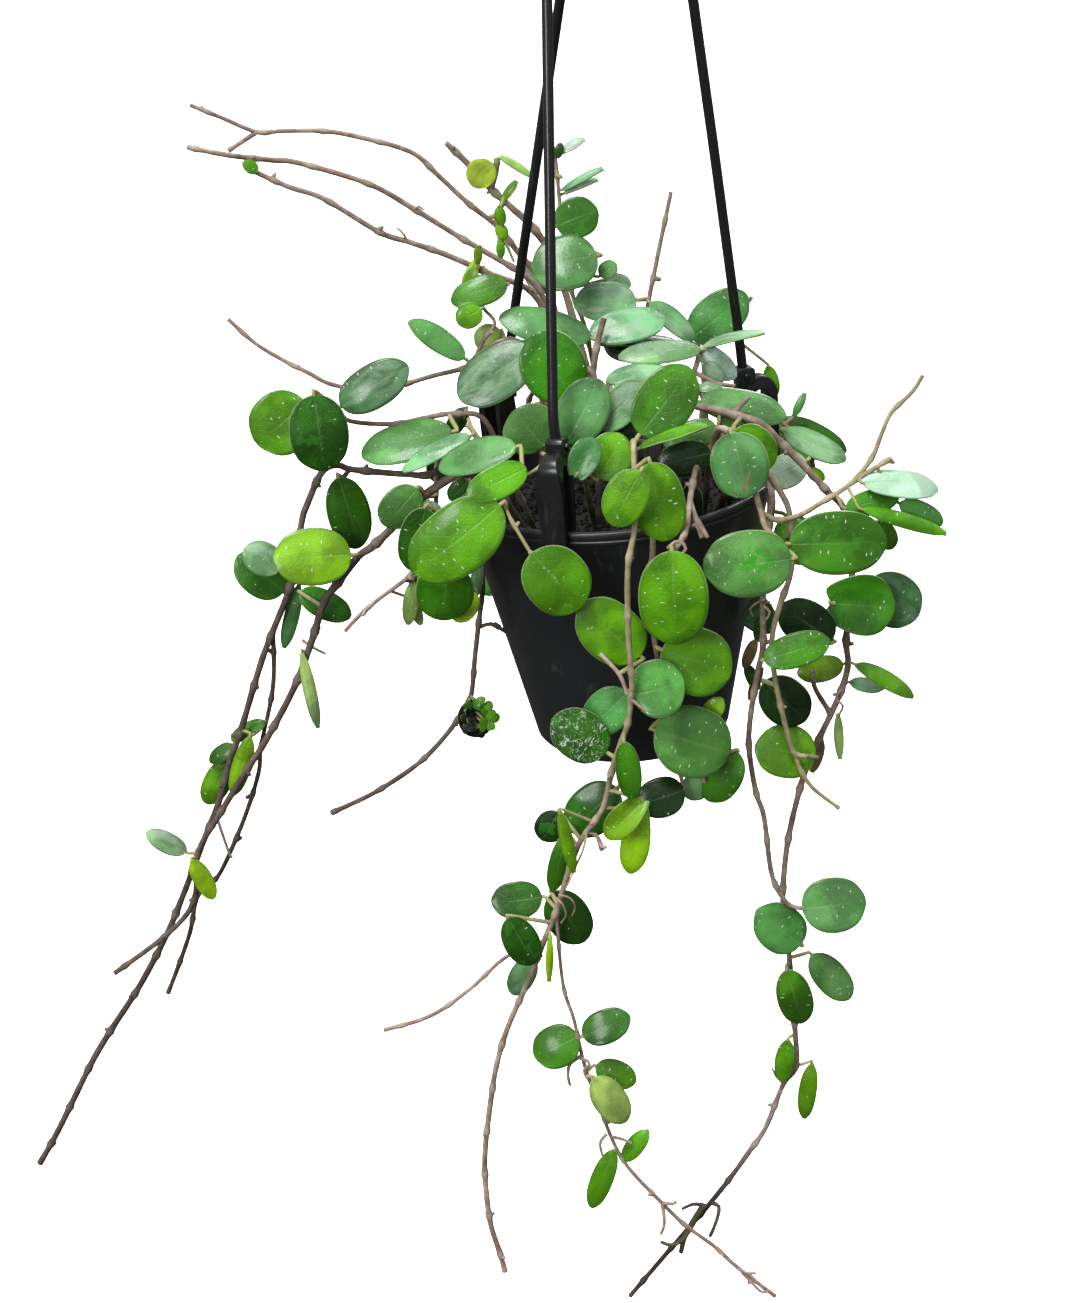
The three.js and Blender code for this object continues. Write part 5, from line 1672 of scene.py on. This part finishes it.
def drain_cutter():
    shape = bmesh.new()
    for i in range(DRAIN_HOLES["count"]):
        turn = 2 * math.pi * (i + 0.5) / DRAIN_HOLES["count"]
        x, y = DRAIN_HOLES["ring"] * math.cos(turn), DRAIN_HOLES["ring"] * math.sin(turn)
        place = Matrix.Translation(Vector((x, y, -POT_HEIGHT)) * MM)
        add_peg(shape, place, DRAIN_HOLES["radius"], 12, 24)
    return in_scene("drain_cutter", from_shape("drain_cutter", shape))


pot, cutter = turned("pot_dressed", pot_outline, 128, pot_black), drain_cutter()
with_modifier(pot, "BOOLEAN", operation="DIFFERENCE", object=cutter, solver="EXACT")
bpy.data.objects.remove(cutter)
stands_for(at_rim(pot), "pot")
print("pot:", len(pot.data.polygons), "faces")

# %% [markdown]
# ## Potting mix
# Only a little of the mix shows between the leaves, but from above it would look like a lid if it
# were flat. A body with an uneven top carries a thousand small crumbs, which a tree scatters with
# a fixed seed, so the surface breaks up the light as real bark and peat do.

# %% Mix body
MIX_TOP, MIX_EDGE_TOP = -15.6, -16
mix_chance = random.Random(12)
mix_floor = pot_floor + FIT_GAP
inset = WALL + 2 * FIT_GAP
mix_outline = [
    (0, mix_floor),
    (wall_radius(mix_floor, inset), mix_floor),
    (wall_radius(MIX_EDGE_TOP, inset), MIX_EDGE_TOP),
    *((radius, MIX_TOP) for radius in range(66, 0, -4)),
    (0, MIX_TOP),
]
mix = turned("mix_dressed", mix_outline, 72, damp_mix, 3.0)
for vertex in mix.data.vertices:
    if vertex.co.z > (MIX_TOP - 0.2) * MM:
        x, y = vertex.co.x / MM, vertex.co.y / MM
        lift = math.sin(x / 7 + 1) * math.cos(y / 9) + 0.6 * math.sin(x / 3.1 + y / 4.3)
        vertex.co.z += (0.35 * lift + mix_chance.uniform(-0.35, 0.35)) * MM
print("mix body:", len(mix.data.polygons), "faces")

# %% Crumbs
CRUMB_INPUTS = {
    "Spread": ("NodeSocketFloat", 90000.0),
    "Crumb": ("NodeSocketFloat", 0.0016),
    "Seed": ("NodeSocketInt", 7),
    "Finish": ("NodeSocketMaterial", None),
}
ANY_TURN = ((0, 0, 0), (6.28, 6.28, 6.28))
CRUMB_SHAPES = ((0.35, 0.3, 0.25), (1.5, 1.0, 0.8))


def crumb_tree():
    tree, take = new_tree("crumbs", CRUMB_INPUTS)
    upright = lay(tree, "GeometryNodeInputNormal").parts()[2].above(0.6)
    spread = {"Selection": upright, "Density": take["Spread"], "Seed": take["Seed"]}
    body = take["Geometry"]
    spots = lay(tree, "GeometryNodeDistributePointsOnFaces", None, {0: body, **spread})
    lump = lay(tree, "GeometryNodeMeshIcoSphere", None, {"Radius": 1.0, "Subdivisions": 1})
    turn = random_flow(tree, *ANY_TURN, take["Seed"], "FLOAT_VECTOR")
    shape = random_flow(tree, *CRUMB_SHAPES, take["Seed"], "FLOAT_VECTOR")
    crumbs = copies_on(tree, spots, lump, turn, scaled(tree, shape, take["Crumb"]))
    return close_tree(tree, [body, crumbs], take["Finish"], False)


mix = grown(mix, crumb_tree(), {"Finish": damp_mix, "Seed": 7}, "potting_mix_dressed")
stands_for(at_rim(mix), "potting_mix")
print("mix:", len(mix.data.polygons), "faces")

# %% [markdown]
# ## Rods, hub and hook
# The rods are plain round strands, so the strand tree makes them too, with no swellings or stubs.
# The hub is a turned disc and the hook a thick bent wire. They lie above the picture, and are
# finished plainly.

# %% Rods
SHARES_OF_A_RUN = (0.12, 0.37, 0.63, 0.88)
SHARES_OF_THE_BEND = (0.0, 0.2, 0.4, 0.6, 0.8)


def rod_path(name):
    """Straight runs through the picture, then one smooth bend over to the hub."""
    bearing = CLIP_BEARINGS[name]
    foot = round_pot(bearing, ROD["seat_radius"], ROD["seat_height"])
    turn = math.radians(bearing)
    x, y = ROD["head_radius"] * math.cos(turn), ROD["head_radius"] * math.sin(turn)
    neck, head = (Vector((x, y, HUB["bottom"] + rise)) for rise in (-5, 5))
    stops = [foot, *(seen(*point) for point in ROD_BENDS[name])]
    path = [foot]
    for a, b in zip(stops, stops[1:]):
        path += [a.lerp(b, share) for share in SHARES_OF_A_RUN]
    before, last = stops[-2:]
    ahead = last + (last - before).normalized() * (neck - last).length * 0.5
    for share in SHARES_OF_THE_BEND:
        path.append(last.lerp(ahead, share).lerp(ahead.lerp(neck, share), share))
    return [*path, neck, head]


for name in ROD_BENDS:
    node_name = "rod_" + name
    rod = plain_strand(rod_path(name), ROD["radius"], node_name + "_dressed", rod_black, 0.004)
    stands_for(rod, node_name)
print("rods:", len(ROD_BENDS))

# %% Hub and hook
hub_outline = [
    (0, HUB["bottom"]),
    (HUB["radius"] - 1, HUB["bottom"]),
    (HUB["radius"], HUB["bottom"] + 1),
    (HUB["radius"], HUB["top"] - 2),
    (HUB["radius"] - 0.6, HUB["top"] - 0.7),
    (HUB["radius"] - 2, HUB["top"]),
    (0, HUB["top"]),
]
hub = turned("hub", hub_outline, 64, pot_black)
centre = Vector((0, 0, -HOOK["bend"] + HOOK["wire"]))
crook_turns = [math.radians(angle) for angle in range(-35, 208, 11)]
crook = [centre + Vector((math.cos(a), 0, math.sin(a))) * HOOK["bend"] for a in crook_turns]
shank = [Vector((0, 0, HOOK["shank_bottom"])), Vector((0, 0, -30)), Vector((2.5, 0, -24))]
hook = plain_strand(shank + crook, HOOK["wire"], "hanger_hook_dressed", pot_black, 0.0015)
stands_for(joined(hook, hub), "hanger_hook")
print("hook reaches", round(max(v.co.z for v in hook.data.vertices) / MM, 1), "mm")

# %% [markdown]
# ## Rim clips
# Each rod ends in a clip: a wide strap that arches over the lip like a hairpin, thick at its
# crown, with a socket on its inner side where the rod is pinned. The strap is a flat outline
# pushed out to its width, and a Bevel modifier rounds the edges that catch the light.

# %% Clips
CLIP = {
    "width": 11,
    "inner": (65.4, 68.4),
    "outer": (75.8, 80.4),
    "top": 35,
    "crown": 6,
    "feet": (-9, -10),
}
LATCH = [(72.8, -9.8), (76.5, -9.8), (76.5, -6.8), (72.8, -6.8)]
SOCKET = [
    (62, 27.5),
    (63, 27),
    (70, 27),
    (70.4, 28),
    (70.4, 38.6),
    (69, 40),
    (63.2, 40),
    (62, 38.6),
]
PIN = {"radius": 1.6, "length": 10.8, "place": (66, 0, 36)}
LEG_SHARES = (0.0, 0.25, 0.5, 0.75)


def arch(near, far, height, foot_near, foot_far, steps=20):
    """An outline up one leg, round the crown and down the other leg, as (radius, height)."""
    middle, radius = (near + far) / 2, (far - near) / 2
    crown = height - radius
    curve = [(near, foot_near + (crown - foot_near) * share) for share in LEG_SHARES]
    for i in range(steps + 1):
        turn = math.pi * (1 - i / steps)
        curve.append((middle + radius * math.cos(turn), crown + radius * math.sin(turn)))
    down = [(far, foot_far + (crown - foot_far) * share) for share in reversed(LEG_SHARES)]
    return curve + down


def waist(height):
    """The strap's width at a height as a share of the full one: narrow where it leaves the rod."""
    shoulder = 1 - 0.42 * soft_step(24, 36, height)
    return shoulder * (0.82 + 0.18 * soft_step(-10, 14, height))


def pushed_out(shape, outline, half, shaped=False):
    """A closed block from a flat outline of (radius, height), pushed out both ways."""
    sides = []
    for way in (-1, 1):
        corners = [Vector((r, way * half * (waist(z) if shaped else 1), z)) for r, z in outline]
        sides.append([shape.verts.new(corner * MM) for corner in corners])
    near, far = sides
    shape.faces.new(near)
    shape.faces.new(list(reversed(far)))
    for i in range(len(outline)):
        j = (i + 1) % len(outline)
        shape.faces.new((near[i], near[j], far[j], far[i]))


def clip_object(name):
    shape = bmesh.new()
    inner, outer = CLIP["inner"], CLIP["outer"]
    outside = arch(inner[0], outer[1], CLIP["top"], *CLIP["feet"])
    inside = arch(inner[1], outer[0], CLIP["top"] - CLIP["crown"], *CLIP["feet"])
    pushed_out(shape, [*outside, *reversed(inside)], CLIP["width"] / 2 + 0.4, True)
    pushed_out(shape, LATCH, CLIP["width"] / 2 - 1.5)
    pushed_out(shape, SOCKET, 4)
    place = Matrix.Translation(Vector(PIN["place"]) * MM) @ Matrix.Rotation(math.pi / 2, 4, "X")
    add_peg(shape, place, PIN["radius"], PIN["length"], 20)
    bmesh.ops.recalc_face_normals(shape, faces=shape.faces)
    mesh = from_shape("clip_" + name, shape)
    mesh.transform(Matrix.Rotation(math.radians(CLIP_BEARINGS[name]), 4, "Z"))
    mesh.shade_smooth()
    mesh.materials.append(rod_black)
    clip = in_scene("clip_" + name + "_dressed", mesh)
    rounding = {"width": 0.7 * MM, "segments": 3, "limit_method": "ANGLE", "angle_limit": 0.6}
    with_modifier(clip, "BEVEL", **rounding)
    clip.data.set_sharp_from_angle(angle=0.9)
    return stands_for(at_rim(clip), "clip_" + name)


clips = [clip_object(name) for name in CLIP_BEARINGS]
print("clips:", len(clips), "with", sum(len(c.data.polygons) for c in clips), "faces")

# %% [markdown]
# ## Floor, light and camera
# The plant hangs in front of plain white. A wide pale floor below it curves up into a round wall,
# so every side has the same plain ground. Light is soft and comes mostly from above, which is
# what turns the upper leaves silvery, with a weaker fill from the viewer's side and another from
# behind.

# %% Stage
FLOOR_DROP = 0.6
FLOOR_RADIUS, FLOOR_BEND, WALL_HEIGHT = 14, 4, 40
SUN = {"energy": 2.7, "angle": math.radians(24)}
SUN_WAY = (0.18, 0.35, -1)
PLANT_MIDDLE = (0, 0, -0.45)
FILLS = {"front_fill": ((-1.4, -2.2, 0.7), 26), "rear_glow": ((0.9, 1.7, 0.9), 22)}
FILL_SIZE = 0.9
SKY_GREYS = [(0.25, (0.07,) * 3), (0.5, (0.24,) * 3), (0.85, (0.65,) * 3)]


def round_floor(height):
    """Wide, level and round, then curved up into a wall, so it is plain white from every side."""
    quarter = [step * math.pi / 16 for step in range(9)]
    bend = [
        (FLOOR_RADIUS + FLOOR_BEND * math.sin(a), FLOOR_BEND - FLOOR_BEND * math.cos(a))
        for a in quarter
    ]
    outline = [(0, 0), *bend, (FLOOR_RADIUS + FLOOR_BEND, WALL_HEIGHT)]
    floor = turned("floor", [(r / MM, z / MM) for r, z in outline], 72, floor_white)
    floor.data.transform(Matrix.Translation((0, 0, height)))
    return floor


def lamp(name, kind, way, place=(0, 0, 0), **settings):
    """A light that shines one way."""
    made = bpy.data.lights.new(name, kind)
    for label, value in settings.items():
        setattr(made, label, value)
    stand = in_scene(name, made)
    stand.location = place
    stand.rotation_euler = way.to_track_quat("-Z", "Y").to_euler()


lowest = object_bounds()[0].z
studio_floor = round_floor(lowest - FLOOR_DROP)
studio_floor.visible_diffuse = False
studio_floor.visible_glossy = False
studio_floor.visible_shadow = False
studio_floor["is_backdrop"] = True
lamp("sky_light", "SUN", Vector(SUN_WAY), **SUN)
for name, (place, power) in FILLS.items():
    way = Vector(PLANT_MIDDLE) - Vector(place)
    lamp(name, "AREA", way, place, shape="DISK", size=FILL_SIZE, energy=power)
world = bpy.data.worlds.new("studio")
world.use_nodes = True
air = world.node_tree
directions = Flow(node(air, "ShaderNodeTexCoord").outputs["Generated"])
sky = ramp(air, directions.parts()[2] * 0.5 + 0.5, *SKY_GREYS)
feed(air, air.nodes["Background"], "Color", sky)
bpy.context.scene.world = world
bpy.context.scene.view_settings.view_transform = "Standard"
print("floor at", round(lowest - FLOOR_DROP, 3), "m")

# %% Camera
lens = bpy.data.cameras.new("view")
lens.sensor_width = SENSOR
lens.lens = FOCAL_POINTS / PICTURE[1] * SENSOR
lens.clip_start, lens.clip_end = 0.05, 60
camera = in_scene("view", lens)
turned_axes = Matrix((right, up, -forward)).transposed().to_4x4()
camera.matrix_world = Matrix.Translation(EYE * MM) @ turned_axes
bpy.context.scene.camera = camera
print("lens", round(lens.lens, 2), "mm")

# %% [markdown]
# ## Sizes
# The box of the solids and the box of the dressed parts are printed side by side.

# %% Sizes and finish
dressed_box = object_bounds()
sizes = {"solids": [list(c) for c in solid_box], "dressed": [list(c) for c in dressed_box]}
for label, (low, high) in sizes.items():
    print(label, [round(c, 4) for c in low], [round(c, 4) for c in high])
